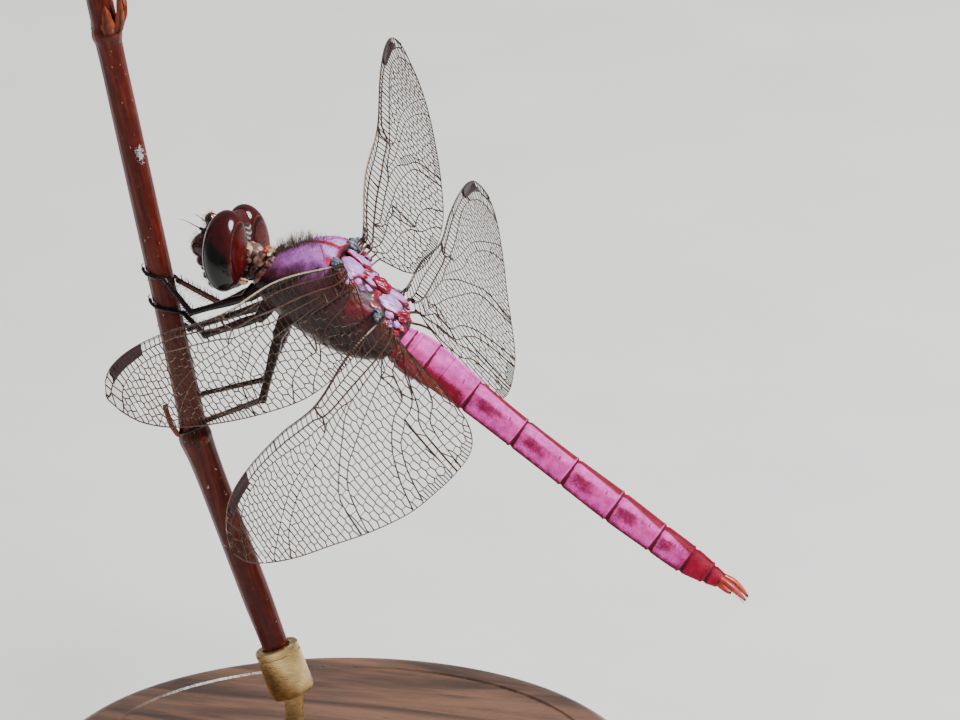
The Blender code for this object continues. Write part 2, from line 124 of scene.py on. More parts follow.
class WingSettings(bpy.types.PropertyGroup):
    vein_width: length("Cross vein width", "Width of the thin veins between the cells", 0.060)
    vein_colour: colour("Veins", "Dark brown of the veins", (0.042, 0.018, 0.0085))
    stigma_colour: colour("Wing spot", "Brown-black of the spot near each wing tip", (0.014, 0.0075, 0.009))


class CoatSettings(bpy.types.PropertyGroup):
    hair_length: length("Hair length", "Length of the longest hairs on the front of the thorax", 1.30)
    seed: IntProperty(name="Seed", description="Start of the random spread of hairs", default=11)


# ---------------------------------------------------------------- shape helpers

def clamped(value):
    """The value, kept from 0 to 1."""
    return min(1.0, max(0.0, value))


def curve_value(points, x):
    """Height at x of the smooth curve (Catmull-Rom in x) through the points."""
    last = len(points) - 1
    i = 0
    while i < last - 1 and x > points[i + 1][0]:
        i += 1
    (x0, y0), (x1, y1) = points[i], points[i + 1]
    before = points[max(i - 1, 0)]
    after = points[min(i + 2, last)]
    step = x1 - x0
    slope0 = (y1 - before[1]) / (x1 - before[0])
    slope1 = (after[1] - y0) / (after[0] - x0)
    t = (x - x0) / step
    t2, t3 = t * t, t * t * t
    return (y0 * (2 * t3 - 3 * t2 + 1) + slope0 * step * (t3 - 2 * t2 + t)
            + y1 * (3 * t2 - 2 * t3) + slope1 * step * (t3 - t2))


def ramp(low, high, value):
    """Smooth rise from 0 at low to 1 at high."""
    share = clamped((value - low) / (high - low))
    return share * share * (3.0 - 2.0 * share)


def strip(centre, half, value):
    """1 on a strip about its centre, which fades to 0 at its half width."""
    return 1.0 - ramp(0.45 * half, half, abs(value - centre))


def spot(point, centre, radii):
    """1 inside an ellipse or ellipsoid, which fades to 0 at its edge."""
    reach = math.sqrt(sum(((p - c) / r) ** 2 for p, c, r in zip(point, centre, radii)))
    return 1.0 - ramp(0.75, 1.0, reach)


def line_distance(point, start, end):
    """Distance from a point to a stretch of line, in two dimensions."""
    px, py = point[0] - start[0], point[1] - start[1]
    dx, dy = end[0] - start[0], end[1] - start[1]
    share = clamped((px * dx + py * dy) / (dx * dx + dy * dy))
    return math.hypot(px - share * dx, py - share * dy)


def end_share(along, cap):
    """1 over a shape's length, which falls to 0 within a cap at each end."""
    return min(1.0, along / cap, (1.0 - along) / cap)


def mirrored(point, side):
    """A point given for the right side, put on either side."""
    return Vector((point[0], side * point[1], point[2]))


def scatter(chance, spread):
    """A random step in no one direction."""
    return Vector([chance.gauss(0.0, spread) for _ in range(3)])


def smooth_path(points, steps):
    """Points along a smooth curve through the given ones, spaced evenly in each stretch."""
    rows = [list(enumerate(axis)) for axis in zip(*(Vector(point) for point in points))]
    return [Vector([curve_value(row, step / steps) for row in rows])
            for step in range(steps * (len(points) - 1) + 1)]


def new_shape(marks=()):
    """An empty shape whose points will carry the named marks."""
    bm = bmesh.new()
    for mark in marks:
        bm.verts.layers.float.new(mark)
    return bm


def sheet(bm, across, along, place):
    """Add a grid whose points a formula puts in place: place(u, v) gives a point and its marks."""
    made = bmesh.ops.create_grid(bm, x_segments=across, y_segments=along, size=1.0)["verts"]
    layers = bm.verts.layers.float.values()
    for vert in made:
        point, values = place(0.5 * (vert.co.x + 1.0), 0.5 * (vert.co.y + 1.0))
        vert.co = point
        for layer, value in zip(layers, values):
            vert[layer] = value
    bmesh.ops.remove_doubles(bm, verts=made, dist=2.0 * SAME_POINT)


def tube(bm, path, radii, sides=8, marks=(), shape=None, patch=None):
    """Add a round bar along a path, closed at both ends. shape(turn) scales its section."""
    path = [Vector(point) for point in path]
    count = len(path)
    if not isinstance(radii, (list, tuple)):
        radii = [radii] * count
    axes = []
    normal = None
    for i in range(count):
        along = (path[min(i + 1, count - 1)] - path[max(i - 1, 0)]).normalized()
        if normal is None:
            normal = along.orthogonal().normalized()
        normal = (normal - along * normal.dot(along)).normalized()
        axes.append((normal.copy(), along.cross(normal)))
    rings = count + 1
    made = bmesh.ops.create_grid(bm, x_segments=sides, y_segments=rings, size=1.0)["verts"]
    layers = bm.verts.layers.float.values()
    per_point = bool(marks) and isinstance(marks[0], (list, tuple))
    uv = bm.loops.layers.uv.active if patch else None
    if uv:
        for face in {face for vert in made for face in vert.link_faces}:
            for loop in face.loops:
                across, along = loop.vert.co.xy
                loop[uv].uv = (patch[0] + PATCH * 0.5 * across, patch[1] + PATCH * 0.5 * along)
    for vert in made:
        turn = math.pi * (vert.co.x + 1.0)
        ring = round(0.5 * (vert.co.y + 1.0) * rings)
        i = min(max(ring - 1, 0), count - 1)
        radius = 0.0 if ring in (0, rings) else radii[i]
        if shape:
            radius *= shape(turn)
        vert.co = path[i] + (axes[i][0] * math.cos(turn) + axes[i][1] * math.sin(turn)) * radius
        for layer, value in zip(layers, marks[i] if per_point else marks):
            vert[layer] = value
    bmesh.ops.remove_doubles(bm, verts=made, dist=SAME_POINT)


def dome(bm, centre, radii, turn=(0.0, 0.0, 0.0), segments=20, rings=12, paint=None):
    """Add an egg shape. paint(unit direction) gives its marks and a factor for its radius."""
    made = bmesh.ops.create_uvsphere(bm, u_segments=segments, v_segments=rings, radius=1.0)["verts"]
    layers = bm.verts.layers.float.values()
    if paint:
        for vert in made:
            factor, values = paint(vert.co)
            for layer, value in zip(layers, values):
                vert[layer] = value
            vert.co *= factor
    place = (Matrix.Translation(Vector(centre)) @ Euler([math.radians(a) for a in turn]).to_matrix().to_4x4()
             @ Matrix.Diagonal((*radii, 1.0)))
    bmesh.ops.transform(bm, matrix=place, verts=made)


def finish_piece(bm, name, material, place, replaced=(), crease=50.0):
    """Turn a shape in millimetres into a placed, smooth piece of the model."""
    bmesh.ops.recalc_face_normals(bm, faces=bm.faces)
    bm.transform(Matrix.Scale(MM, 4) @ place)
    mesh = bpy.data.meshes.new(name)
    bm.to_mesh(mesh)
    bm.free()
    mesh.materials.append(material)
    mesh.shade_smooth()
    if crease:
        mesh.set_sharp_from_angle(angle=math.radians(crease))
    piece = bpy.data.objects.new(name, mesh)
    bpy.context.scene.collection.objects.link(piece)
    if replaced:
        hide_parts(*replaced)
    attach(piece, "root")


# ---------------------------------------------------------------- material helpers

def add_node(tree, kind, settings=None, **inputs):
    """Add a node. An input, by its name or as i and its number, takes a value or another node's output."""
    item = tree.nodes.new(kind)
    for key, value in (settings or {}).items():
        setattr(item, key, value)
    for key, value in inputs.items():
        numbered = key[0] == "i" and key[1:].isdigit()
        socket = item.inputs[int(key[1:]) if numbered else key.replace("_", " ")]
        if isinstance(value, bpy.types.NodeSocket):
            tree.links.new(value, socket)
        else:
            socket.default_value = value
    return item


def mix_colour(tree, factor, first, second, blend="MIX"):
    first, second = ((*c, 1.0) if isinstance(c, tuple) else c for c in (first, second))
    return add_node(tree, "ShaderNodeMix", {"data_type": "RGBA", "blend_type": blend, "clamp_factor": True},
                    i0=factor, i6=first, i7=second).outputs[2]


def work_out(tree, operation, first, second=0.0, third=0.0, clamp=False):
    return add_node(tree, "ShaderNodeMath", {"operation": operation, "use_clamp": clamp},
                    i0=first, i1=second, i2=third).outputs[0]


def map_range(tree, value, low, high, out_low=0.0, out_high=1.0):
    return add_node(tree, "ShaderNodeMapRange", {"interpolation_type": "SMOOTHSTEP"}, Value=value,
                    From_Min=low, From_Max=high, To_Min=out_low, To_Max=out_high).outputs["Result"]


def noise(tree, vector, scale, detail=4.0, roughness=0.55, stretch=None):
    """Noise whose scale is the number of its lumps in a millimetre."""
    size = [scale / MM] * 3 if stretch is None else [scale * s / MM for s in stretch]
    vector = add_node(tree, "ShaderNodeMapping", Vector=vector, Scale=size).outputs[0]
    return add_node(tree, "ShaderNodeTexNoise", Vector=vector, Scale=1.0, Detail=detail,
                    Roughness=roughness).outputs["Fac"]


def grey(tree, shade):
    """A grey of the given shade."""
    return add_node(tree, "ShaderNodeCombineColor", Red=shade, Green=shade, Blue=shade).outputs[0]


def object_coordinates(tree):
    return add_node(tree, "ShaderNodeTexCoord").outputs["Object"]


def body_coordinates(tree):
    """Object coordinates turned into line with the insect's trunk."""
    return add_node(tree, "ShaderNodeMapping", {"vector_type": "TEXTURE"}, Vector=object_coordinates(tree),
                    Location=BODY_ORIGIN * MM, Rotation=(0.0, BODY_PITCH, 0.0)).outputs[0]


def mark(tree, name):
    return add_node(tree, "ShaderNodeAttribute", {"attribute_name": name}).outputs["Fac"]


def new_material(name, **sockets):
    """A material with its constants set on the shader itself; returns it, its tree and its shader."""
    material = bpy.data.materials.new(name)
    material.use_nodes = True
    tree = material.node_tree
    shader = tree.nodes["Principled BSDF"]
    for key, value in sockets.items():
        shader.inputs[key.replace("_", " ")].default_value = value
    return material, tree, shader


def feed(tree, shader, **sockets):
    """Link other nodes' outputs to the shader's sockets."""
    for key, value in sockets.items():
        tree.links.new(value, shader.inputs[key.replace("_", " ")])


def relief(tree, shader, height, depth, strength=1.0):
    """Feed a height into the shader's normal; depth is in millimetres."""
    bump = add_node(tree, "ShaderNodeBump", Height=height, Strength=strength, Distance=depth * MM)
    feed(tree, shader, Normal=bump.outputs["Normal"])


def group_tree(name, inputs, outputs):
    """A new node group with named sockets, and its two end nodes."""
    tree = bpy.data.node_groups.new(name, "ShaderNodeTree")
    for label, kind, value in inputs:
        socket = tree.interface.new_socket(name=label, in_out="INPUT", socket_type=kind)
        if value is not None:
            socket.default_value = value
    for label, kind in outputs:
        tree.interface.new_socket(name=label, in_out="OUTPUT", socket_type=kind)
    return tree, tree.nodes.new("NodeGroupInput"), tree.nodes.new("NodeGroupOutput")


def cuticle_group():
    """Shared effect: waxy bloom, red, pale and dark markings with worn edges over a ground colour."""
    if "Marked Cuticle" in bpy.data.node_groups:
        return bpy.data.node_groups["Marked Cuticle"]
    colour_kind, value_kind = "NodeSocketColor", "NodeSocketFloat"
    inputs = [("Vector", "NodeSocketVector", None)]
    inputs += [(f"{label} Colour", colour_kind, None) for label in ("Ground", "Bloom", "Red", "Pale", "Dark")]
    inputs += [(label, value_kind, 0.0) for label in ("Bloom", "Red", "Pale", "Dark")]
    inputs += [("Wear", value_kind, 0.5)]
    tree, start, end = group_tree("Marked Cuticle", inputs, [("Colour", colour_kind), ("Bloom", value_kind),
                                                             ("Height", value_kind)])
    take = start.outputs
    coarse = noise(tree, take["Vector"], 1.6, 5.0)
    fine = noise(tree, take["Vector"], 9.0, 3.0, 0.6)
    edge = work_out(tree, "MULTIPLY_ADD", work_out(tree, "SUBTRACT", fine, 0.5), take["Wear"], 0.0)
    soft = work_out(tree, "MULTIPLY_ADD", work_out(tree, "SUBTRACT", coarse, 0.5), take["Wear"], edge)
    bloom = map_range(tree, work_out(tree, "ADD", take["Bloom"], soft), 0.05, 0.85)
    colour = mix_colour(tree, bloom, take["Ground Colour"], take["Bloom Colour"])
    for label, low, high in (("Red", 0.2, 0.7), ("Pale", 0.15, 0.8), ("Dark", 0.2, 0.75)):
        amount = map_range(tree, work_out(tree, "ADD", take[label], edge), low, high)
        amount = work_out(tree, "MULTIPLY", amount, map_range(tree, take[label], 0.0, 0.12))
        colour = mix_colour(tree, amount, colour, take[f"{label} Colour"])
    shade = map_range(tree, coarse, 0.25, 0.75, 0.72, 1.22)
    colour = mix_colour(tree, 1.0, colour, grey(tree, shade), "MULTIPLY")
    tree.links.new(colour, end.inputs["Colour"])
    tree.links.new(bloom, end.inputs["Bloom"])
    tree.links.new(work_out(tree, "MULTIPLY_ADD", fine, 0.6, work_out(tree, "MULTIPLY", coarse, 0.4)),
                   end.inputs["Height"])
    return tree


def marked_parts(name, colours, *, wear, gloss, **sockets):
    """A cuticle whose markings come from the piece's own attributes, still without its relief.

    The colours are those of the ground, the bloom, and the red, pale and dark markings. The gloss is
    the roughness without bloom and under it.
    """
    sockets.setdefault("Specular_IOR_Level", 0.22)
    material, tree, shader = new_material(name, **sockets)
    vector = body_coordinates(tree)
    inputs = {label + "_Colour": (*value, 1.0)
              for label, value in zip(("Ground", "Bloom", "Red", "Pale", "Dark"), colours)}
    inputs.update({label.capitalize(): mark(tree, label) for label in MARKS})
    cuticle = add_node(tree, "ShaderNodeGroup", {"node_tree": cuticle_group()}, Vector=vector, Wear=wear,
                       **inputs)
    feed(tree, shader, Base_Color=cuticle.outputs["Colour"],
         Roughness=map_range(tree, cuticle.outputs["Bloom"], 0.0, 1.0, *gloss))
    return material, tree, shader, vector, cuticle


def marked_material(name, *colours, bump, **settings):
    """A whole marked cuticle, with the relief of its own grain."""
    material, tree, shader, _, cuticle = marked_parts(name, colours, **settings)
    relief(tree, shader, cuticle.outputs["Height"], bump)
    return material


def wrinkled_material(name, *colours, detail, stretch, share, depth, **settings):
    """A whole marked cuticle with wrinkles along the least of the stretches."""
    material, tree, shader, vector, cuticle = marked_parts(name, colours, **settings)
    wrinkle = noise(tree, vector, 1.0, detail, 0.6, stretch=stretch)
    relief(tree, shader, work_out(tree, "MULTIPLY_ADD", wrinkle, share, cuticle.outputs["Height"]), depth)
    return material


# ---------------------------------------------------------------- stage

FLOOR_RADIUS = 2.4                  # in metres, like the lights' distances and sizes
SKY_COLOUR = (0.93, 0.96, 1.0, 1.0)
SKY_STRENGTH = 0.27
CAMERA_AZIMUTH = math.radians(14.3)
CAMERA_ELEVATION = math.radians(19.4)
CAMERA_DISTANCE = 700.0
CAMERA_LENS = 316.0
AIM_RIGHT, AIM_DOWN = 10.66, 8.89   # how far the aim lies from the insect's origin


def stage_floor(context, tone):
    bm = bmesh.new()
    bmesh.ops.create_circle(bm, cap_ends=True, segments=96, radius=FLOOR_RADIUS)
    mesh = bpy.data.meshes.new("floor")
    bm.to_mesh(mesh)
    bm.free()
    material, tree, shader = new_material("pale_floor", Roughness=0.85)
    grain = noise(tree, object_coordinates(tree), 0.04, 6.0)
    tint = grey(tree, map_range(tree, grain, 0.2, 0.8, 0.96, 1.03))
    feed(tree, shader, Base_Color=mix_colour(tree, 1.0, tone, tint, "MULTIPLY"))
    mesh.materials.append(material)
    floor = bpy.data.objects.new("floor", mesh)
    context.scene.collection.objects.link(floor)


def stage_light(context, name, direction, distance, size, power):
    """A soft round light that shines on the insect; only the key light shows in glossy surfaces."""
    lamp = bpy.data.lights.new(name, "AREA")
    lamp.shape = "DISK"
    lamp.size = size
    lamp.energy = power
    light = bpy.data.objects.new(name, lamp)
    away = Vector(direction).normalized()
    light.location = BODY_ORIGIN * MM + away * distance
    light.rotation_euler = away.to_track_quat("Z", "Y").to_euler()
    light.visible_glossy = name == "key_light"
    context.scene.collection.objects.link(light)


def stage_camera(context):
    look = Vector((-math.sin(CAMERA_AZIMUTH) * math.cos(CAMERA_ELEVATION),
                   math.cos(CAMERA_AZIMUTH) * math.cos(CAMERA_ELEVATION), -math.sin(CAMERA_ELEVATION)))
    right = Vector((math.cos(CAMERA_AZIMUTH), math.sin(CAMERA_AZIMUTH), 0.0))
    aim = BODY_ORIGIN + right * AIM_RIGHT - right.cross(look) * AIM_DOWN
    lens = bpy.data.cameras.new("camera")
    lens.lens = CAMERA_LENS
    lens.sensor_width = 36.0
    lens.clip_start = 0.05
    lens.clip_end = 20.0
    camera = bpy.data.objects.new("camera", lens)
    camera.location = (aim - look * CAMERA_DISTANCE) * MM
    camera.rotation_euler = look.to_track_quat("-Z", "Y").to_euler()
    context.scene.collection.objects.link(camera)
    context.scene.camera = camera


class DRAGONFLY_OT_stage(bpy.types.Operator):
    """Make the pale floor, the soft lights and the camera"""
    bl_idname = "dragonfly.stage"
    bl_label = "Stage"

    def execute(self, context):
        settings = context.scene.dragonfly_stage
        stage_floor(context, tuple(settings.floor_colour))
        world = bpy.data.worlds.new("studio")
        world.use_nodes = True
        sky = world.node_tree.nodes["Background"].inputs
        sky["Color"].default_value = SKY_COLOUR
        sky["Strength"].default_value = SKY_STRENGTH
        context.scene.world = world
        stage_light(context, "key_light", (0.60, 0.10, 0.80), 0.62, 0.30, settings.key_power)
        stage_light(context, "fill_light", (-0.55, -0.80, 0.35), 0.80, 0.60, settings.fill_power)
        stage_light(context, "rim_light", (-0.45, 0.80, 0.55), 0.80, 0.45, settings.rim_power)
        stage_camera(context)
        return {"FINISHED"}


# ---------------------------------------------------------------- thorax

# (distance back, height on the midline, shoulder half width and height, underside, greatest half width)
THORAX_SHAPE = (
    (-5.0, -4.6, 0.9, -5.0, -7.0, 1.6),
    (-4.5, -3.5, 1.6, -4.3, -7.6, 2.5),
    (-3.4, -1.8, 2.3, -2.4, -7.9, 3.3),
    (-2.2, -0.8, 2.8, -1.15, -8.0, 3.7),
    (-1.0, -0.42, 3.15, -0.62, -8.0, 3.9),
    (-0.2, -0.65, 3.1, -0.85, -8.0, 3.95),
    (1.0, -0.55, 2.9, -1.1, -7.9, 3.9),
    (2.4, -0.7, 2.7, -1.2, -7.8, 3.8),
    (3.7, -0.7, 2.6, -1.3, -7.5, 3.6),
    (5.0, -1.0, 2.7, -1.5, -7.1, 3.4),
    (6.2, -1.35, 2.4, -1.9, -6.5, 3.0),
    (7.2, -1.7, 1.7, -2.4, -5.8, 2.4),
    (7.7, -1.95, 1.3, -2.6, -5.3, 2.0),
)
THORAX_START, THORAX_LENGTH = -5.0, 12.7
THORAX_CAP = 0.02                   # share of the skin that closes each end
# Swellings between the grooves of each side: centre and radii as (distance back, height)
SIDE_SWELLINGS = (((-2.6, -4.6), (1.5, 3.2)), ((0.9, -4.4), (1.7, 3.0)), ((3.9, -4.2), (1.6, 2.8)))
# Grooves down each side: upper and lower end as (distance back, height)
SIDE_SUTURES = (((-1.3, -1.4), (-3.9, -6.9)), ((1.9, -1.5), (-0.4, -7.3)), ((4.6, -1.8), (3.0, -6.9)))
TOP_SUTURE = ((-2.45, 0.55), (-1.35, 3.2))      # across the front's rear edge: (distance back, sideways)


def thorax_half(back):
    """Half of the thorax's section: the points from the ridge round to the underside."""
    top, shoulder, level, bottom, widest = (
        curve_value([(row[0], row[column]) for row in THORAX_SHAPE], back) for column in range(1, 6))
    middle = 0.5 * (level + bottom)
    return ((0.0, top), (0.5 * shoulder, top - 0.2 * (top - level)), (shoulder, level),
            (shoulder + (widest - shoulder) * 0.75, level - 0.35 * (level - middle)), (widest, middle),
            (widest * 0.86, middle - 0.5 * (middle - bottom)),
            (widest * 0.57, middle - 0.85 * (middle - bottom)), (widest * 0.25, bottom), (0.0, bottom))


def section_point(half, turn):
    """Point of a mirrored section: turn runs 0 to 1 round it from the ridge by the right side."""
    side = 1.0 if turn <= 0.5 else -1.0
    at = (turn if turn <= 0.5 else 1.0 - turn) * 2.0 * (len(half) - 1)
    reach = curve_value([(i, point[0]) for i, point in enumerate(half)], at)
    height = curve_value([(i, point[1]) for i, point in enumerate(half)], at)
    return side * max(0.0, reach), height, at / (len(half) - 1)


def skin_point(back, reach, height, middle, lift, end):
    """A section's point lifted off the section, and drawn in where the skin closes at its ends."""
    lean = Vector((0.0, reach, height - middle)).normalized()
    drawn = end ** 0.5
    return Vector((back, reach * drawn, middle + (height - middle) * drawn)) + lean * lift * end


def thorax_along(back):
    """How far along the skin a distance back lies."""
    return THORAX_CAP + (1.0 - 2.0 * THORAX_CAP) * (back - THORAX_START) / THORAX_LENGTH


def thorax_skin():
    """The thorax's surface, as a formula for sheet: its ridges, grooves, swellings and markings."""
    sections = {}

    def place(turn, along):
        back = THORAX_START + THORAX_LENGTH * clamped((along - THORAX_CAP) / (1.0 - 2.0 * THORAX_CAP))
        key = round(back, 4)
        if key not in sections:
            sections[key] = thorax_half(back)
        half = sections[key]
        reach, height, round_share = section_point(half, turn)
        middle = 0.5 * (half[0][1] + half[-1][1])
        width = abs(reach)
        upper = 1.0 - ramp(0.22, 0.34, round_share)
        side = ramp(0.20, 0.30, round_share) * (1.0 - ramp(0.80, 0.9, round_share))
        lift = (0.18 * strip(0.0, 0.20, reach) * ramp(-4.5, -3.9, back)
                * (1.0 - ramp(-0.95, -0.7, back)) * upper)
        crest_back = -0.85 + 0.12 * width + 0.45 * ramp(1.6, 3.2, width)
        crest = strip(crest_back, 0.26, back) * upper
        lift += 0.26 * crest
        cut = line_distance((back, width), *TOP_SUTURE)
        rear, far = TOP_SUTURE
        behind = back - curve_value(((0.0, rear[0]), rear[::-1], far[::-1]), width)
        suture = (1.0 - ramp(0.03, 0.13, cut)) * upper
        lift -= 0.09 * suture
        grooves = 0.0
        for start, stop in SIDE_SUTURES:
            grooves = max(grooves, 1.0 - ramp(0.05, 0.22, line_distance((back, height), start, stop)))
        lift -= 0.12 * grooves * side
        swell = sum(math.sin(0.5 * math.pi * spot((back, height), centre, radii))
                    for centre, radii in SIDE_SWELLINGS)
        lift += 0.12 * swell * side
        point = skin_point(back, reach, height, middle, lift, end_share(along, THORAX_CAP))

        front = 1.0 - ramp(-1.15, -0.75, back - 0.12 * width)
        fade = 1.0 - ramp(0.19, 0.50 + 0.03 * math.sin(3.0 * back), round_share)
        bloom = front * fade * (0.55 + 0.45 * ramp(-4.6, -3.2, back))
        plate = front * ramp(0.0, 0.25, behind) * upper
        red = max(0.95 * crest, suture * 0.8,
                  ramp(-4.0, -3.0, back) * strip(0.0, 0.26, reach) * front * upper,
                  0.8 * plate * ramp(1.9, 2.9, width), 0.55 * (1.0 - front) * upper)
        red = max(red, 0.40 * spot((back, height), (3.3, -2.2), (1.3, 1.0)) * side,
                  0.15 * spot((back, height), (-4.2, -5.2), (0.5, 1.6)))
        pale = 0.75 * plate * (1.0 - ramp(1.7, 2.4, width)) * (1.0 - crest) * ramp(0.3, 0.6, width)
        dark = max(0.9 * ramp(0.38, 0.54, round_share), 0.7 * grooves * side,
                   strip(0.0, 0.12, reach) * ramp(-4.7, -4.2, back) * (1.0 - ramp(-3.3, -2.6, back)),
                   0.7 * (1.0 - ramp(-4.9, -4.3, back)), suture * 0.35,
                   0.65 * (1.0 - front) * upper)
        return point, (bloom, red * (1.0 - 0.6 * dark), pale, dark)
    return place


# Plates and knobs among the wing roots: look, centre as (distance back, sideways, height), radii
NOTUM_PLATES = (
    ("pale", (0.85, 1.10, -0.52), (1.15, 0.95, 0.42)),
    ("red", (1.70, 0.60, -0.62), (0.75, 0.62, 0.36)),
    ("pale", (2.55, 0.52, -0.72), (0.85, 0.66, 0.38)),
    ("red", (3.55, 0.34, -0.55), (0.85, 0.50, 0.46)),
    ("red", (3.75, 1.15, -0.92), (0.40, 1.30, 0.24)),
    ("pale", (5.00, 0.92, -1.00), (1.35, 0.86, 0.46)),
    ("pale", (5.55, 1.85, -1.48), (0.60, 0.46, 0.36)),
    ("red", (6.50, 0.62, -1.58), (0.55, 0.50, 0.36)),
    ("pale", (6.50, 1.55, -1.88), (0.50, 0.44, 0.36)),
    ("red", (7.10, 1.05, -2.00), (0.42, 0.50, 0.30)),
    ("pale", (0.95, 2.20, -0.85), (0.50, 0.42, 0.30)),
    ("red", (1.55, 2.55, -1.00), (0.45, 0.36, 0.28)),
    ("pale", (1.80, 1.75, -0.90), (0.50, 0.40, 0.28)),
    ("dark", (2.45, 2.05, -1.08), (0.55, 0.45, 0.30)),
    ("pale", (2.85, 1.45, -0.98), (0.52, 0.36, 0.24)),
    ("dark", (3.35, 2.00, -1.20), (0.62, 0.36, 0.26)),
    ("red", (4.25, 2.35, -1.36), (0.70, 0.42, 0.28)),
    ("dark", (6.05, 2.25, -1.80), (0.50, 0.40, 0.30)),
    ("red", (6.90, 1.95, -2.28), (0.42, 0.40, 0.28)),
    ("red", (0.45, 3.05, -0.75), (0.60, 0.42, 0.34)),
    ("pale", (1.15, 3.20, -0.85), (0.46, 0.40, 0.32)),
    ("red", (5.55, 2.95, -1.75), (0.60, 0.42, 0.32)),
    ("pale", (6.25, 2.85, -1.98), (0.46, 0.40, 0.32)),
)
# Hardened roots of the wing's leading edge: fore and hind, from the body outwards
WING_KNOBS = (
    ((-0.30, 2.35, -0.45), (0.70, 0.36, 0.30)),
    ((-0.42, 2.95, -0.38), (0.52, 0.44, 0.26)),
    ((0.10, 2.95, -0.48), (0.50, 0.34, 0.26)),
    ((-0.10, 3.45, -0.25), (0.46, 0.40, 0.26)),
    ((4.80, 2.70, -1.48), (0.55, 0.34, 0.28)),
    ((5.05, 3.15, -1.62), (0.46, 0.38, 0.26)),
    ((5.25, 3.50, -1.60), (0.42, 0.34, 0.24)),
)


def plate_paint(kind, seed):
    def paint(unit):
        wave = 1.0 + 0.13 * (
            math.sin(4.0 * unit.x + 3.0 * unit.y + seed) * math.cos(4.0 * unit.y + 2.0 * seed)
            + 0.5 * math.sin(9.0 * unit.y - 5.0 * unit.x + seed))
        rim = strip(0.16, 0.36 + 0.2 * math.sin(2.0 * unit.x - 3.0 * unit.y + seed), unit.z)
        top = ramp(0.2, 0.6, unit.z)
        below = 1.0 - ramp(-0.35, 0.0, unit.z)
        if kind == "pale":
            return wave, (0.4 * top, 0.9 * rim, 0.9 * top * (1.0 - 0.5 * ramp(0.3, 0.9, unit.x)), below)
        if kind == "red":
            return wave, (0.0, 0.95, 0.10 * ramp(0.8, 1.0, unit.z), 0.8 * below)
        return wave, (0.5 * top, 0.0, 0.35 * top, max(below, 0.55))
    return paint


def knob_paint(seed):
    def paint(unit):
        bars = math.sin(12.0 * unit.y + seed)
        wave = 1.0 + 0.10 * math.sin(11.0 * unit.y + 3.0 * unit.x + seed)
        return wave, (0.5, 0.0, 0.7 * ramp(0.3, 1.0, bars), 0.8 * ramp(-0.2, 0.7, -bars))
    return paint


class DRAGONFLY_OT_thorax(bpy.types.Operator):
    """Make the bloomed thorax, the plates between the wings and the wings' hard roots"""
    bl_idname = "dragonfly.thorax"
    bl_label = "Thorax"

    def execute(self, context):
        settings = context.scene.dragonfly_body
        bloom, red = tuple(settings.bloom_colour), tuple(settings.red_colour)
        skin = wrinkled_material(
            "thorax_cuticle", (0.072, 0.016, 0.026), bloom, red, (0.42, 0.26, 0.56),
            tuple(settings.dark_colour), wear=0.28, gloss=(0.30, 0.62), detail=3.0, stretch=(2.2, 1.6, 7.0),
            share=0.9, depth=0.06, Coat_Weight=0.08, Coat_Roughness=0.3)
        bm = new_shape(MARKS)
        sheet(bm, 260, 130, thorax_skin())
        finish_piece(bm, "thorax_skin", skin, INSECT, ("mesothorax", "metathorax"),
                     crease=None)

        plates = marked_material(
            "notum_cuticle", (0.10, 0.010, 0.016), bloom, (0.21, 0.004, 0.022), (0.48, 0.23, 0.58),
            (0.022, 0.006, 0.012), wear=0.9, gloss=(0.22, 0.5), bump=0.03, Coat_Weight=0.35,
            Coat_Roughness=0.16)
        bm = new_shape(MARKS)
        for number, (kind, centre, radii) in enumerate(NOTUM_PLATES):
            for _, side in SIDES:
                turn = (-14.0 * side * (centre[1] > 0.9), 0.0, 9.0 * side)
                size = (1.10 * radii[0], 1.10 * radii[1], 0.78 * radii[2])
                dome(bm, mirrored(centre, side), size, turn, 36, 24, plate_paint(kind, number + 0.4 * side))
        finish_piece(bm, "notum_plates", plates, INSECT)

        knobs = marked_material(
            "wing_root_cuticle", (0.045, 0.050, 0.065), (0.13, 0.15, 0.19), red, (0.26, 0.29, 0.38),
            (0.010, 0.010, 0.013), wear=0.8, gloss=(0.25, 0.5), bump=0.03, Coat_Weight=0.3,
            Coat_Roughness=0.2)
        bm = new_shape(MARKS)
        for number, (centre, radii) in enumerate(WING_KNOBS):
            for _, side in SIDES:
                dome(bm, mirrored(centre, side), radii, (0.0, 0.0, 18.0 * side), 24, 16, knob_paint(number))
        finish_piece(bm, "wing_roots", knobs, INSECT)
        return {"FINISHED"}


# ---------------------------------------------------------------- abdomen

# (distance back, ridge, keel, underside, half width)
ABDOMEN_OUTLINE = (
    (7.8, -1.95, -4.2, -5.1, 1.85),
    (9.0, -1.6, -4.3, -5.3, 2.1),
    (10.6, -1.45, -4.3, -5.2, 2.0),
    (12.2, -1.5, -4.2, -4.8, 1.75),
    (15.1, -1.65, -4.05, -4.4, 1.5),
    (20.2, -1.7, -3.9, -4.2, 1.45),
    (25.5, -1.55, -3.75, -4.05, 1.5),
    (30.2, -1.3, -3.65, -4.0, 1.5),
    (34.6, -1.2, -3.4, -3.8, 1.4),
    (37.7, -1.1, -3.2, -3.6, 1.2),
    (39.8, -1.2, -2.7, -3.1, 0.95),
    (41.0, -1.35, -2.3, -2.7, 0.7),
)
ABDOMEN_JOINTS = (7.8, 8.4, 10.6, 15.1, 20.2, 25.5, 30.2, 34.6, 37.7, 39.8, 41.0)
ABDOMEN_FOLDS = (9.0, 12.2)         # ringed folds within the first long segments
ABDOMEN_CAP = 0.006
KEEL_TURN = 4.0 / 7.0               # the keel's place in the half section
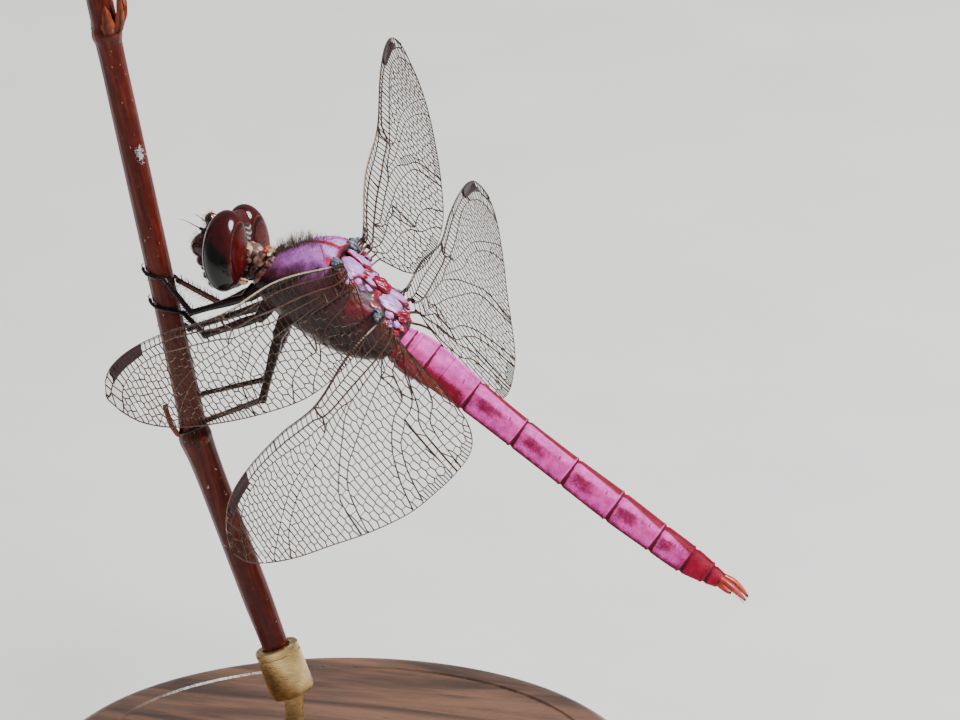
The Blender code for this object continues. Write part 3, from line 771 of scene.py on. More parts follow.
CERCUS_PATH = ((40.85, 0.34, -1.74), (41.9, 0.54, -1.62), (42.9, 0.54, -1.68), (43.6, 0.46, -1.80))
CERCUS_RADII = (0.27, 0.29, 0.21, 0.10)
EPIPROCT_PATH = ((40.95, 0.0, -2.3), (41.5, 0.0, -2.38), (42.0, 0.0, -2.38), (42.35, 0.0, -2.30))


def abdomen_half(back):
    """A three-cornered section: a ridge on top, a keel down each side, a shallow belly."""
    ridge, keel, belly, width = (curve_value([(row[0], row[column]) for row in ABDOMEN_OUTLINE], back)
                                 for column in range(1, 5))
    drop = ridge - keel
    return ((0.0, ridge), (0.28 * width, ridge - 0.16 * drop), (0.62 * width, ridge - 0.40 * drop),
            (0.88 * width, ridge - 0.70 * drop), (width, keel), (0.72 * width, keel * 0.4 + belly * 0.6),
            (0.3 * width, belly), (0.0, belly))


def abdomen_skin():
    """The abdomen's surface, as a formula for sheet: its ridge, keels, joints, folds and markings."""
    first, last = ABDOMEN_JOINTS[0], ABDOMEN_JOINTS[-1]
    sections = {}

    def place(turn, along):
        back = first - 0.1 + (last - first + 0.15) * clamped((along - ABDOMEN_CAP)
                                                             / (1.0 - 2.0 * ABDOMEN_CAP))
        key = round(back, 4)
        if key not in sections:
            sections[key] = abdomen_half(back)
        half = sections[key]
        reach, height, low = section_point(half, turn)
        number = sum(back > joint for joint in ABDOMEN_JOINTS[1:-1])
        start, stop = ABDOMEN_JOINTS[number], ABDOMEN_JOINTS[number + 1]
        share = clamped((back - start) / (stop - start))
        since = back - start if number else 9.0
        until = stop - back if number < 9 else 9.0
        ridge = 1.0 - ramp(0.0, 0.09, low)
        keel = strip(KEEL_TURN, 0.04, low)
        lift = 0.055 * ramp(0.30, 0.12, until) if until < 0.30 else 0.0
        lift -= 0.11 * (1.0 - ramp(0.10, 0.42, since)) + 0.10 * (1.0 - ramp(0.0, 0.07, until))
        lift += (0.06 if number > 2 else 0.10) * ridge + 0.05 * keel
        for fold in ABDOMEN_FOLDS:
            lift -= 0.05 * strip(fold, 0.10, back) * (1.0 - keel)
            lift += 0.03 * strip(fold - 0.15, 0.12, back)
        middle = 0.5 * (half[0][1] + half[-1][1])
        point = skin_point(back, reach, height, middle, lift, end_share(along, ABDOMEN_CAP))

        upper = 1.0 - ramp(0.44, 0.58, low)
        band_width = 0.06 + 0.85 * low ** 1.25
        band = 1.0 - ramp(0.6 * band_width, band_width, since) if number else 0.0
        band = max(band, 1.0 - ramp(0.04, 0.09, until))
        rim = strip(0.15, 0.075, until) * upper * (1.0 - ramp(34.0, 37.0, back))
        wide = 0.65 + 0.14 * number + 0.38 * max(0, number - 4)
        ridge_red = (number > 2) * (1.0 - ramp((0.025 + 0.03 * share) * wide, (0.048 + 0.05 * share) * wide,
                                               low))
        streak = (strip(0.37 - 0.12 * share + 0.015 * math.sin(7.0 * share + number), 0.15, low) ** 1.2
                  * ramp(-0.2, 0.25, share) * (1.0 - ramp(0.35, 0.95, share)) * (number > 2))
        tick = max(1.0 - ramp(0.004, 0.018, line_distance((share, low), (0.74, 0.20), (0.76, 0.25))),
                   0.6 * (1.0 - ramp(0.004, 0.016, line_distance((share, low), (0.66, 0.33), (0.69, 0.34)))))
        tail = ramp(36.2, 38.4, back)
        front_side = (1.0 - ramp(14.0, 16.0, back)) * ramp(0.26, 0.42, low)
        bloom = (upper * (1.0 - 0.70 * streak) * (1.0 - 0.75 * tail)
                 * (1.0 - 0.35 * ramp(0.22, 0.45, low) * (number < 3)))
        red = max(ridge_red, 0.85 * band, 0.75 * front_side, 0.9 * tail * ramp(0.35, 1.0, tail),
                  0.35 * (1.0 - upper), 0.30 * ramp(0.25, 0.5, low) * (number < 3), 0.30 * streak)
        violet = strip(0.46, 0.11, low) * (number > 2)
        pale = max(0.6 * rim, 0.55 * strip(0.13, 0.17, low) * (1.0 - tail) * (1.0 - band) * (1.0 - ridge_red),
                   0.35 * violet * (1.0 - tail) * (1.0 - band),
                   0.9 * ridge * (number <= 2) * (1.0 - band))
        dark = max(0.62 * band, 0.5 * keel * (1.0 - ramp(37.0, 38.0, back)), 0.75 * tick * (number > 1),
                   0.12 * streak, 0.32 * ramp(0.60, 0.85, low), 0.38 * front_side,
                   0.5 * max(strip(fold, 0.07, back) for fold in ABDOMEN_FOLDS))
        return point, (bloom, red, pale * (1.0 - 0.7 * dark), dark)
    return place


class DRAGONFLY_OT_abdomen(bpy.types.Operator):
    """Make the rose-pink abdomen with its joints, ridge and keels, and the claspers on its end"""
    bl_idname = "dragonfly.abdomen"
    bl_label = "Abdomen"

    def execute(self, context):
        settings = context.scene.dragonfly_body
        skin = wrinkled_material(
            "abdomen_cuticle", (0.20, 0.006, 0.040), tuple(settings.rose_colour), (0.24, 0.003, 0.022),
            (0.80, 0.10, 0.54), (0.045, 0.002, 0.008), wear=0.8, gloss=(0.36, 0.54), detail=4.0,
            stretch=(9.0, 1.3, 1.3), share=0.8, depth=0.05, Coat_Weight=0.04, Coat_Roughness=0.30)
        bm = new_shape(MARKS)
        sheet(bm, 132, 400, abdomen_skin())
        finish_piece(bm, "abdomen_skin", skin, INSECT,
                     [f"abdomen_{number:02d}" for number in range(1, 11)], crease=None)

        tail = marked_material(
            "tail_cuticle", (0.34, 0.050, 0.030), (0.5, 0.1, 0.15), (0.46, 0.022, 0.022), (0.62, 0.24, 0.16),
            (0.05, 0.010, 0.010), wear=0.5, gloss=(0.28, 0.4), bump=0.02, Coat_Weight=0.3,
            Coat_Roughness=0.25)
        for name, side in SIDES:
            bm = new_shape(MARKS)
            path = smooth_path([mirrored(point, side) for point in CERCUS_PATH], 8)
            path.append(path[-1] + (path[-1] - path[-2]) * 0.8)
            widths = list(enumerate(CERCUS_RADII))
            radii = [curve_value(widths, min(3.0, i / 8)) for i in range(len(path) - 1)] + [0.05]
            marks = [(0.0, 0.4, 0.3 * ramp(0.2, 0.5, i / len(path)), ramp(0.72, 1.0, i / len(path)))
                     for i in range(len(path))]
            tube(bm, path, radii, 20, marks, shape=lambda turn: 1.0 + 0.08 * math.cos(3.0 * turn))
            for i in range(10, 26, 2):
                root = path[i] + Vector((0.0, side * 0.10, -0.17))
                tube(bm, (root, root + Vector((0.12, side * 0.04, -0.14))), (0.035, 0.008), 5,
                     (0.0, 0.0, 0.0, 1.0))
            finish_piece(bm, "cercus_" + name + "_finish", tail, INSECT, ("cercus_" + name,),
                         crease=None)
        bm = new_shape(MARKS)
        path = smooth_path(EPIPROCT_PATH, 6)
        tube(bm, path, [0.30 - 0.009 * i for i in range(len(path))], 18,
             [(0.0, 0.5, 0.0, 0.8 * ramp(0.5, 1.0, i / len(path))) for i in range(len(path))])
        finish_piece(bm, "epiproct_finish", tail, INSECT, ("epiproct",), crease=None)
        return {"FINISHED"}


# ---------------------------------------------------------------- head

EYE_CENTRE = (0.34, 2.14, -0.25)
EYE_RADII = (1.86, 2.20, 3.42)
EYE_TILT = 16.0
EYE_GAP = 0.35                      # nearer the middle than this, each eye is pressed flat
FACETS = 22.0                       # facets of an eye along a millimetre
# Bumps of the face in the head's frame: name, centre, radii
FACE_LUMPS = (
    ("frons", (-2.05, 0.0, -0.20), (1.70, 1.75, 1.30)),
    ("frons_top", (-2.30, 0.0, 0.86), (0.55, 0.85, 0.50)),
    ("postclypeus", (-1.75, 0.0, -1.35), (1.55, 1.70, 0.80)),
    ("anteclypeus", (-1.45, 0.0, -1.95), (1.55, 1.35, 0.55)),
    ("labrum", (-1.20, 0.0, -2.60), (1.62, 1.45, 0.62)),
    ("mandible_left", (-0.75, -0.85, -2.70), (1.20, 0.85, 0.85)),
    ("mandible_right", (-0.75, 0.85, -2.70), (1.20, 0.85, 0.85)),
    ("labium", (-0.85, 0.0, -3.25), (1.50, 1.55, 0.62)),
)
FACE_HOLLOW = 0.06
# Pale and dark lumps behind the eyes, in the head's frame: centre, radii, marks
NAPE_LUMPS = (
    ((1.62, 0.42, -0.45), (0.34, 0.44, 0.60), (0.5, 0.0, 0.95, 0.0)),
    ((1.62, -0.42, -0.45), (0.34, 0.44, 0.60), (0.5, 0.0, 0.95, 0.0)),
    ((1.52, 0.0, -1.35), (0.38, 0.60, 0.52), (0.7, 0.1, 0.4, 0.25)),
    ((1.48, 0.35, -2.2), (0.28, 0.42, 0.50), (0.6, 0.0, 0.3, 0.5)),
    ((1.48, -0.35, -2.2), (0.28, 0.42, 0.50), (0.6, 0.0, 0.3, 0.5)),
    ((1.35, -1.35, -2.95), (0.50, 0.36, 0.26), (0.0, 0.30, 0.8, 0.0)),
    ((1.35, 1.35, -2.95), (0.50, 0.36, 0.26), (0.0, 0.30, 0.8, 0.0)),
)
# Lumps of the collar, in the insect's frame: centre, radii, degrees tipped, marks
COLLAR_LUMPS = (
    ((-5.55, 0.0, -5.60), (0.62, 1.45, 1.15), 0.0, (0.3, 0.25, 0.3, 0.35)),
    ((-5.30, 0.0, -4.45), (0.26, 0.95, 0.45), -24.0, (0.2, 0.0, 0.95, 0.0)),
    ((-5.62, 0.0, -4.72), (0.30, 0.82, 0.42), -20.0, (0.1, 0.95, 0.15, 0.0)),
    ((-4.80, -1.55, -4.75), (0.34, 0.55, 0.62), 0.0, (0.5, 0.0, 0.25, 0.45)),
    ((-4.80, 1.55, -4.75), (0.34, 0.55, 0.62), 0.0, (0.5, 0.0, 0.25, 0.45)),
    ((-4.62, -2.0, -5.85), (0.42, 0.42, 0.80), 0.0, (0.3, 0.3, 0.2, 0.3)),
    ((-4.62, 2.0, -5.85), (0.42, 0.42, 0.80), 0.0, (0.3, 0.3, 0.2, 0.3)),
    ((-5.35, -1.15, -6.35), (0.55, 0.55, 0.70), 0.0, (0.2, 0.1, 0.25, 0.6)),
    ((-5.35, 1.15, -6.35), (0.55, 0.55, 0.70), 0.0, (0.2, 0.1, 0.25, 0.6)),
)
NECK_PATH = ((-5.70, 0.0, -5.60), (-6.30, 0.0, -5.60), (-6.90, 0.0, -5.85), (-7.35, 0.0, -6.05))
FEELER_BASE = ((-2.15, 0.72, 1.15), (-2.40, 0.80, 1.30), (-2.60, 0.88, 1.42))
FEELER_LASH = ((-2.58, 0.87, 1.41), (-3.10, 1.05, 1.72), (-3.60, 1.22, 2.02), (-4.15, 1.36, 2.24))


def eye_paint(side):
    def paint(unit):
        back = (EYE_CENTRE[0] + EYE_RADII[0] * unit.x - 0.15) / 2.1
        lower = 1.0 - ramp(-0.25, 0.30, unit.z + 0.18 * math.sin(3.0 * unit.x))
        outer = ramp(-0.35, 0.35, unit.y * side) * (1.0 - ramp(-0.55, -0.95, unit.x) * 0.6)
        rear = ramp(0.73, 0.79, back)
        rim = strip(0.715, 0.03, back)
        disc = math.hypot((unit.y * side - 0.02) / 0.62, (unit.z + 0.02) / 0.62)
        face = rear * (1.0 - ramp(0.78, 1.0, disc)) * (0.55 + 0.45 * ramp(-0.45, 0.25, unit.z))
        dark = max(0.95 * lower * outer * (1.0 - ramp(0.50, 0.70, back)), 0.55 * rear * ramp(0.80, 1.0, disc))
        glow = 0.45 * strip(0.64, 0.16, back) + 0.35 * (1.0 - lower) * ramp(-0.9, -0.2, unit.x)
        return 1.0, (0.2 * glow, max(face, glow * 0.5), rim * 0.4 * ramp(-0.9, -0.3, unit.z), dark)
    return paint


def flatten_rear(vert, edge=1.42, room=0.50):
    """Press what lies behind an eye's edge into a shallow dome."""
    beyond = vert.co.x - edge
    if beyond > 0.0:
        vert.co.x = edge + room * (1.0 - math.exp(-beyond / room))


def occiput_paint(unit):
    y, z = 3.9 * unit.y, 3.2 * unit.z - 0.2
    column = (1.0 - ramp(0.48, 0.72, abs(y))) * (1.0 - ramp(1.7, 1.95, z))
    bars = 0.5 + 0.5 * math.sin(13.0 * z + 2.2 * math.sin(3.0 * y + z))
    patchy = 0.5 + 0.5 * math.sin(7.0 * z + 5.0 * y) * math.cos(6.0 * y - 2.0)
    upper = ramp(-0.1, 0.3, z)
    pale = column * (upper * ramp(0.35, 0.75, bars) * (0.6 + 0.4 * patchy)
                     + (1.0 - upper) * ramp(0.45, 0.8, patchy))
    dark = column * max(upper * (1.0 - ramp(0.25, 0.6, bars)), (1.0 - upper) * (1.0 - ramp(0.2, 0.5, patchy)))
    return 1.0, (0.25 * column, 0.9 * (1.0 - column), 0.9 * pale, max(0.75 * dark, 0.15 * (1.0 - column)))


def nape_paint(seed, values):
    bloom, red, pale, dark = values

    def paint(unit):
        wave = (1.0 + 0.16 * math.sin(6.0 * unit.y + seed) * math.cos(5.0 * unit.z - seed)
                + 0.06 * math.sin(13.0 * unit.z + 9.0 * unit.y))
        mottle = 0.55 + 0.45 * math.sin(4.0 * unit.z + 3.0 * unit.y + seed)
        return wave, (bloom, red, pale * mottle, max(dark, 0.6 * (1.0 - ramp(-0.3, 0.1, unit.x))))
    return paint


def collar_paint(seed, values):
    bloom, red, pale, dark = values

    def paint(unit):
        wave = (1.0 + 0.14 * math.sin(6.0 * unit.y + seed) * math.cos(7.0 * unit.z + seed)
                + 0.06 * math.sin(14.0 * unit.y - 9.0 * unit.z))
        mottle = 0.7 + 0.3 * math.sin(5.0 * unit.y + seed)
        blots = 0.5 * (0.5 + 0.5 * math.sin(6.0 * unit.z + 4.0 * unit.y))
        return wave, (bloom, red, pale * mottle, max(dark, blots) if dark > 0.1 else 0.0)
    return paint


def face_paint(number, name):
    darkness = 0.8 if number > 3 or number == 1 else 0.15

    def paint(unit):
        groove = strip(0.0, 0.10, unit.y) if name.startswith("frons") else 0.0
        pits = 0.012 * math.sin(17.0 * unit.y + number) * math.sin(15.0 * unit.z)
        red = (0.7 * ramp(-0.2, 0.6, unit.x) * (name == "frons")
               + 0.25 * (name in ("postclypeus", "labrum")))
        return 1.0 - FACE_HOLLOW * groove + pits, (0.0, red, 0.0, darkness)
    return paint


class DRAGONFLY_OT_head(bpy.types.Operator):
    """Make the glossy eyes, the face, the back of the head, the feelers and the collar"""
    bl_idname = "dragonfly.head"
    bl_label = "Head"

    def execute(self, context):
        settings = context.scene.dragonfly_head
        eye, tree, shader, vector, _ = marked_parts(
            "compound_eye", (tuple(settings.eye_colour), (0.09, 0.015, 0.009),
                             tuple(settings.eye_rear_colour), (0.24, 0.08, 0.06), (0.0030, 0.0034, 0.0018)),
            wear=0.12, gloss=(0.20, 0.26), Coat_Roughness=0.03, Specular_IOR_Level=0.12)
        feed(tree, shader, Coat_Weight=map_range(tree, mark(tree, "red"), 0.35, 0.9, 0.48, 0.05))
        facets = add_node(tree, "ShaderNodeTexVoronoi", {"feature": "DISTANCE_TO_EDGE"}, Vector=vector,
                          Scale=FACETS / MM).outputs["Distance"]
        relief(tree, shader, facets, 0.006, 0.15)
        for name, side in SIDES:
            bm = new_shape(MARKS)
            dome(bm, mirrored(EYE_CENTRE, side), EYE_RADII, (EYE_TILT * side, 0.0, 0.0), 128, 96,
                 eye_paint(side))
            for vert in bm.verts:
                flatten_rear(vert)
                depth = side * vert.co.y
                if depth < EYE_GAP:
                    vert.co.y = side * (0.02 + 0.33 * math.exp((depth - EYE_GAP) / 0.33))
            finish_piece(bm, "eye_" + name + "_finish", eye, HEAD, ("eye_" + name,),
                         crease=None)

        occiput = marked_material(
            "occiput_cuticle", (0.05, 0.012, 0.010), (0.30, 0.27, 0.26), (0.050, 0.007, 0.007),
            (0.36, 0.33, 0.28), (0.016, 0.014, 0.012), wear=1.2, gloss=(0.3, 0.55), bump=0.05,
            Coat_Weight=0.25)
        bm = new_shape(MARKS)
        dome(bm, (0.62, 0.0, -0.2), (1.08, 3.5, 3.05), segments=120, rings=110, paint=occiput_paint)
        for vert in bm.verts:
            hollow = max(0.0, 1.0 - math.hypot(vert.co.y / 1.5, (vert.co.z + 0.6) / 1.9))
            if vert.co.x > 0.2:
                vert.co.x -= 0.35 * hollow
        finish_piece(bm, "occiput_finish", occiput, HEAD, ("head",), crease=None)

        patches = marked_material(
            "nape_patches", (0.12, 0.035, 0.030), (0.30, 0.13, 0.13), (0.42, 0.045, 0.012),
            (0.66, 0.50, 0.28), (0.012, 0.009, 0.008), wear=1.5, gloss=(0.3, 0.5), bump=0.08,
            Coat_Weight=0.30, Coat_Roughness=0.15)
        bm = new_shape(MARKS)
        for seed, (centre, radii, values) in enumerate(NAPE_LUMPS):
            dome(bm, centre, radii, segments=36, rings=24, paint=nape_paint(seed, values))
        finish_piece(bm, "nape_patches", patches, HEAD)

        face = marked_material(
            "face_cuticle", (0.030, 0.005, 0.006), (0.10, 0.03, 0.03), (0.16, 0.016, 0.010), (0.3, 0.1, 0.05),
            (0.006, 0.005, 0.006), wear=0.4, gloss=(0.22, 0.4), bump=0.03, Coat_Weight=0.45,
            Coat_Roughness=0.12)
        bm = new_shape(MARKS)
        for number, (name, centre, radii) in enumerate(FACE_LUMPS):
            dome(bm, centre, radii, segments=56, rings=40, paint=face_paint(number, name))
        finish_piece(bm, "face_finish", face, HEAD, ("frons", "clypeus", "mouthparts"), crease=None)

        knob = marked_material(
            "vertex_cuticle", (0.012, 0.006, 0.006), (0.1, 0.05, 0.05), (0.27, 0.030, 0.012), (0.5, 0.3, 0.2),
            (0.004, 0.004, 0.005), wear=0.2, gloss=(0.12, 0.3), bump=0.006, Coat_Weight=1.0,
            Coat_Roughness=0.04)
        bm = new_shape(MARKS)
        for _, side in SIDES:
            dome(bm, (-1.86, 0.24 * side, 1.98), (0.48, 0.44, 0.62), (8.0 * side, -18.0, 0.0), 40, 28,
                 lambda unit: (1.0, (0.0, 0.95 * ramp(0.45, 0.8, unit.x), 0.0, 1.0 - ramp(0.3, 0.5, unit.x))))
            dome(bm, (-1.95, 0.62 * side, 1.45), (0.20, 0.20, 0.20), (0.0, 0.0, 0.0), 20, 14,
                 lambda unit: (1.0, (0.0, 0.1, 0.0, 0.8)))
        finish_piece(bm, "vertex_finish", knob, HEAD, ("vertex",), crease=None)

        for name, side in SIDES:
            bm = new_shape(MARKS)
            base = smooth_path([mirrored(point, side) for point in FEELER_BASE], 6)
            tube(bm, base, [0.15 - 0.003 * i for i in range(len(base))], 14, (0.0, 0.0, 0.0, 0.9),
                 shape=lambda turn: 1.0 + 0.05 * math.cos(2.0 * turn))
            lash = smooth_path([mirrored(point, side) for point in FEELER_LASH], 10)
            tube(bm, lash, [0.055 - 0.0013 * i for i in range(len(lash))], 10, (0.0, 0.35, 0.0, 0.5))
            finish_piece(bm, "antenna_" + name + "_finish", face, HEAD, ("antenna_" + name,),
                         crease=None)

        bm = new_shape(MARKS)
        for seed, (centre, radii, turn, values) in enumerate(COLLAR_LUMPS):
            dome(bm, centre, radii, (0.0, turn, 0.0), 36, 24, collar_paint(seed, values))
        tube(bm, smooth_path(NECK_PATH, 6), 0.85, 28, (0.4, 0.15, 0.25, 0.45),
             shape=lambda turn: 1.0 + 0.10 * math.cos(5.0 * turn))
        finish_piece(bm, "collar", patches, INSECT, ("prothorax", "neck"), crease=None)
        return {"FINISHED"}


# ---------------------------------------------------------------- wings

WING_SIDE = 3.25
PLEAT_HEIGHT = 0.16                 # of the folds, in millimetres
PLEAT_DEPTH = 0.16                  # share of the chord from fold to fold
FIELD_WIDTH = 0.10                  # narrower than this, the field between two veins is closed
FIELD_LENGTH = 0.008                # shorter stretches of it, in shares of the span, have no cells
FIELD_OVERLAP = 0.002               # share of the span by which a field runs on into its closed ends
MARGIN_ROW_FROM = 1.3               # fields wider than this have a row of small cells at the margin
MARGIN_ROW_WIDTH, MARGIN_ROW_PITCH = 0.75, 0.52
WIDEST_CELL = 3.2
LEAST_CELL = 0.02                   # smaller scraps of a field, in square millimetres, are dropped
SAME_CORNER = 0.012                 # corners of neighbouring cells nearer than this are one
FILM_THICKNESS = 0.016
NET_THICKNESS = 0.075
SPOT_SLANT = 0.006                  # share of the span by which the wing spot leans outwards
BRISTLES = 26                       # on the root of each leading edge
FOREWING_LEAD = ((0.0, 0.0), (0.25, 0.6), (0.5, -0.4), (0.7, -0.2), (0.83, -0.4), (0.93, -1.1),
                 (0.98, -2.1), (1.0, -3.2))
FOREWING_TRAIL = ((0.0, -2.4), (0.05, -5.6), (0.12, -7.1), (0.25, -8.5), (0.4, -9.4), (0.55, -9.3),
                  (0.7, -8.7), (0.85, -7.6), (0.94, -6.2), (0.985, -4.6), (1.0, -3.6))
HINDWING_LEAD = ((0.0, 0.0), (0.2, 0.0), (0.42, -0.9), (0.6, -0.4), (0.8, -0.4), (0.92, -1.1),
                 (0.98, -2.5), (1.0, -3.7))
HINDWING_TRAIL = ((0.0, -8.0), (0.02, -10.7), (0.08, -12.6), (0.18, -13.1), (0.28, -13.0),
                  (0.4, -12.6), (0.55, -11.3), (0.68, -9.8), (0.82, -8.2), (0.93, -6.5),
                  (0.98, -5.3), (1.0, -4.3))
# Degrees swept forward, lowered at the tip and turned up at the front, root height, washout, bend, upturn
WING_POSE = {
    "forewing_left": (14.4, 2.3, 14.8, -0.05, 7.2, 0.13, 1.1),
    "forewing_right": (15.3, -0.85, 15.0, 0.0, 13.0, -0.64, 1.0),
    "hindwing_left": (2.4, 6.9, 16.1, -1.42, 12.0, 1.24, 1.17),
    "hindwing_right": (3.6, 5.5, 22.0, -1.05, 9.8, -0.25, 1.0),
}
# Length, root's distance back, edges, then shares of the length: the knot, and the dark spot's two ends
WingKind = namedtuple("WingKind", "length back lead trail knot spot")
WING_KINDS = {
    "forewing": WingKind(42.5, 0.0, FOREWING_LEAD, FOREWING_TRAIL, 0.508, (0.808, 0.948)),
    "hindwing": WingKind(41.0, 5.4, HINDWING_LEAD, HINDWING_TRAIL, 0.430, (0.795, 0.930)),
}
# Long veins from the leading edge back: name, neighbour it leaves (front or rear), where it ends (at the
# margin, or on its front neighbour), radius, redness, then its course as (share of span, share of chord)
WING_VEINS = {
    "hindwing": (
        ("costa", "front", "margin", 0.145, 0.2, ((0, 0), (1, 0))),
        ("subcosta", "front", "front", 0.085, 0.5, ((0, 0.09), (0.05, 0.095), (0.15, 0.09), (0.25, 0.08),
            (0.35, 0.055), (0.4, 0.05), (0.43, 0))),
        ("radius", "front", "margin", 0.115, 0.4, ((0, 0.14), (0.1, 0.155), (0.2, 0.155), (0.3, 0.135),
            (0.41, 0.105), (0.45, 0.073), (0.55, 0.074), (0.7, 0.075), (0.8, 0.09), (0.9, 0.13), (0.95, 0.2),
            (0.985, 0.4), (1, 0.6))),
        ("radial_sector", "front", "margin", 0.080, 0.4, ((0.09, 0.155), (0.12, 0.185), (0.2, 0.2),
            (0.28, 0.2), (0.35, 0.155), (0.42, 0.15), (0.45, 0.136), (0.55, 0.155), (0.7, 0.135), (0.8, 0.16),
            (0.9, 0.3), (0.95, 0.55), (0.97, 1))),
        ("second_branch", "front", "margin", 0.065, 0.2, ((0.425, 0.15), (0.445, 0.19), (0.5, 0.24),
            (0.55, 0.285), (0.6, 0.32), (0.7, 0.44), (0.8, 0.66), (0.87, 0.9), (0.885, 1))),
        ("between_branch", "front", "margin", 0.060, 0.2, ((0.31, 0.178), (0.35, 0.2), (0.4, 0.225),
            (0.45, 0.275), (0.5, 0.326), (0.6, 0.39), (0.7, 0.54), (0.78, 0.74), (0.83, 1))),
        ("third_branch", "front", "margin", 0.065, 0.2, ((0.285, 0.2), (0.35, 0.238), (0.4, 0.3),
            (0.45, 0.39), (0.5, 0.508), (0.55, 0.66), (0.568, 0.82), (0.575, 1))),
        ("media", "front", "margin", 0.070, 0.3, ((0.095, 0.165), (0.11, 0.21), (0.14, 0.26), (0.2, 0.29),
            (0.25, 0.315), (0.3, 0.345), (0.35, 0.376), (0.4, 0.42), (0.45, 0.483), (0.5, 0.61), (0.52, 0.72),
            (0.55, 0.95), (0.555, 1))),
        ("rear_media", "front", "margin", 0.075, 0.3, ((0, 0.24), (0.08, 0.28), (0.105, 0.31), (0.12, 0.42),
            (0.14, 0.455), (0.2, 0.485), (0.25, 0.545), (0.3, 0.645), (0.35, 0.815), (0.38, 0.97),
            (0.385, 1))),
        ("cubitus", "rear", "margin", 0.065, 0.3, ((0.186, 0.565), (0.2, 0.575), (0.225, 0.6), (0.25, 0.63),
            (0.28, 0.71), (0.3, 0.78), (0.32, 0.88), (0.335, 0.97), (0.34, 1))),
        ("loop_outer", "front", "margin", 0.075, 0.4, ((0, 0.27), (0.07, 0.38), (0.09, 0.47), (0.13, 0.53),
            (0.17, 0.55), (0.184, 0.57), (0.189, 0.75), (0.193, 0.92), (0.2, 1))),
        ("loop_middle", "front", "margin", 0.060, 0.4, ((0.06, 0.4), (0.08, 0.45), (0.11, 0.56), (0.15, 0.63),
            (0.163, 0.71), (0.17, 0.8), (0.175, 0.92), (0.178, 1))),
        ("loop_inner", "front", "margin", 0.065, 0.4, ((0, 0.42), (0.05, 0.62), (0.1, 0.66), (0.125, 0.7),
            (0.138, 0.78), (0.147, 0.87), (0.154, 0.94), (0.158, 1))),
        ("margin", "front", "margin", 0.055, 0.1, ((0, 1), (1, 1))),
    ),
    "forewing": (
        ("costa", "front", "margin", 0.145, 0.2, ((0, 0), (1, 0))),
        ("subcosta", "front", "front", 0.085, 0.5, ((0, 0.14), (0.1, 0.1), (0.3, 0.085), (0.45, 0.07),
            (0.49, 0.05), (0.508, 0))),
        ("radius", "front", "margin", 0.115, 0.6, ((0, 0.3), (0.1, 0.23), (0.3, 0.21), (0.4, 0.167),
            (0.495, 0.16), (0.52, 0.12), (0.55, 0.085), (0.65, 0.07), (0.75, 0.075), (0.85, 0.1),
            (0.93, 0.16), (0.97, 0.3), (1, 0.6))),
        ("radial_sector", "front", "margin", 0.080, 0.5, ((0.118, 0.228), (0.135, 0.29), (0.33, 0.295),
            (0.37, 0.275), (0.4, 0.248), (0.45, 0.235), (0.495, 0.235), (0.55, 0.2), (0.7, 0.19), (0.8, 0.18),
            (0.9, 0.28), (0.95, 0.5), (0.975, 1))),
        ("second_branch", "front", "margin", 0.065, 0.2, ((0.498, 0.235), (0.515, 0.265), (0.55, 0.295),
            (0.6, 0.325), (0.68, 0.4), (0.78, 0.58), (0.86, 0.82), (0.895, 1))),
        ("between_branch", "front", "margin", 0.060, 0.2, ((0.395, 0.25), (0.45, 0.295), (0.5, 0.32),
            (0.55, 0.355), (0.6, 0.392), (0.69, 0.5), (0.77, 0.69), (0.82, 0.88), (0.84, 1))),
        ("third_branch", "front", "margin", 0.065, 0.2, ((0.35, 0.288), (0.4, 0.31), (0.45, 0.36),
            (0.5, 0.49), (0.55, 0.61), (0.575, 0.75), (0.59, 1))),
        ("media", "front", "margin", 0.070, 0.5, ((0.12, 0.25), (0.135, 0.345), (0.2, 0.38), (0.262, 0.4),
            (0.35, 0.405), (0.4, 0.43), (0.45, 0.48), (0.5, 0.56), (0.53, 0.66), (0.55, 0.85), (0.56, 1))),
        ("rear_media", "front", "margin", 0.075, 0.5, ((0, 0.37), (0.12, 0.4), (0.222, 0.44), (0.24, 0.6),
            (0.262, 0.72), (0.3, 0.715), (0.35, 0.735), (0.4, 0.8), (0.44, 0.95), (0.45, 1))),
        ("anal", "front", "margin", 0.065, 0.4, ((0, 0.55), (0.08, 0.55), (0.16, 0.58), (0.235, 0.68),
            (0.27, 0.8), (0.31, 0.86), (0.35, 0.93), (0.37, 1))),
        ("margin", "front", "margin", 0.055, 0.1, ((0, 1), (1, 1))),
    ),
}


# Short strong cross veins: both ends as (share of the span, depth of the chord), and a radius
STRONG_VEINS = {
    "hindwing": (
        ((0.095, 0.155), (0.108, 0.25), 0.08), ((0.108, 0.25), (0.142, 0.262), 0.075),
        ((0.142, 0.262), (0.106, 0.31), 0.075), ((0.142, 0.262), (0.122, 0.44), 0.075),
        ((0.106, 0.31), (0.122, 0.44), 0.075), ((0.055, 0.15), (0.06, 0.27), 0.065),
        ((0.122, 0.44), (0.105, 0.50), 0.06)),
    "forewing": (
        ((0.118, 0.228), (0.122, 0.40), 0.08), ((0.222, 0.44), (0.262, 0.42), 0.075),
        ((0.262, 0.42), (0.264, 0.72), 0.075), ((0.07, 0.24), (0.074, 0.38), 0.065),
        ((0.222, 0.39), (0.222, 0.44), 0.06)),
}
VEIN_SLIMNESS = 0.66                # share of the listed radii that the finished veins keep
# Vein roots from the base edge to the hinge: share of the base edge behind its front, radius
ROOT_STRUTS = ((0.0, 0.15), (0.12, 0.13), (0.3, 0.10), (0.52, 0.085), (0.76, 0.075), (1.0, 0.065))


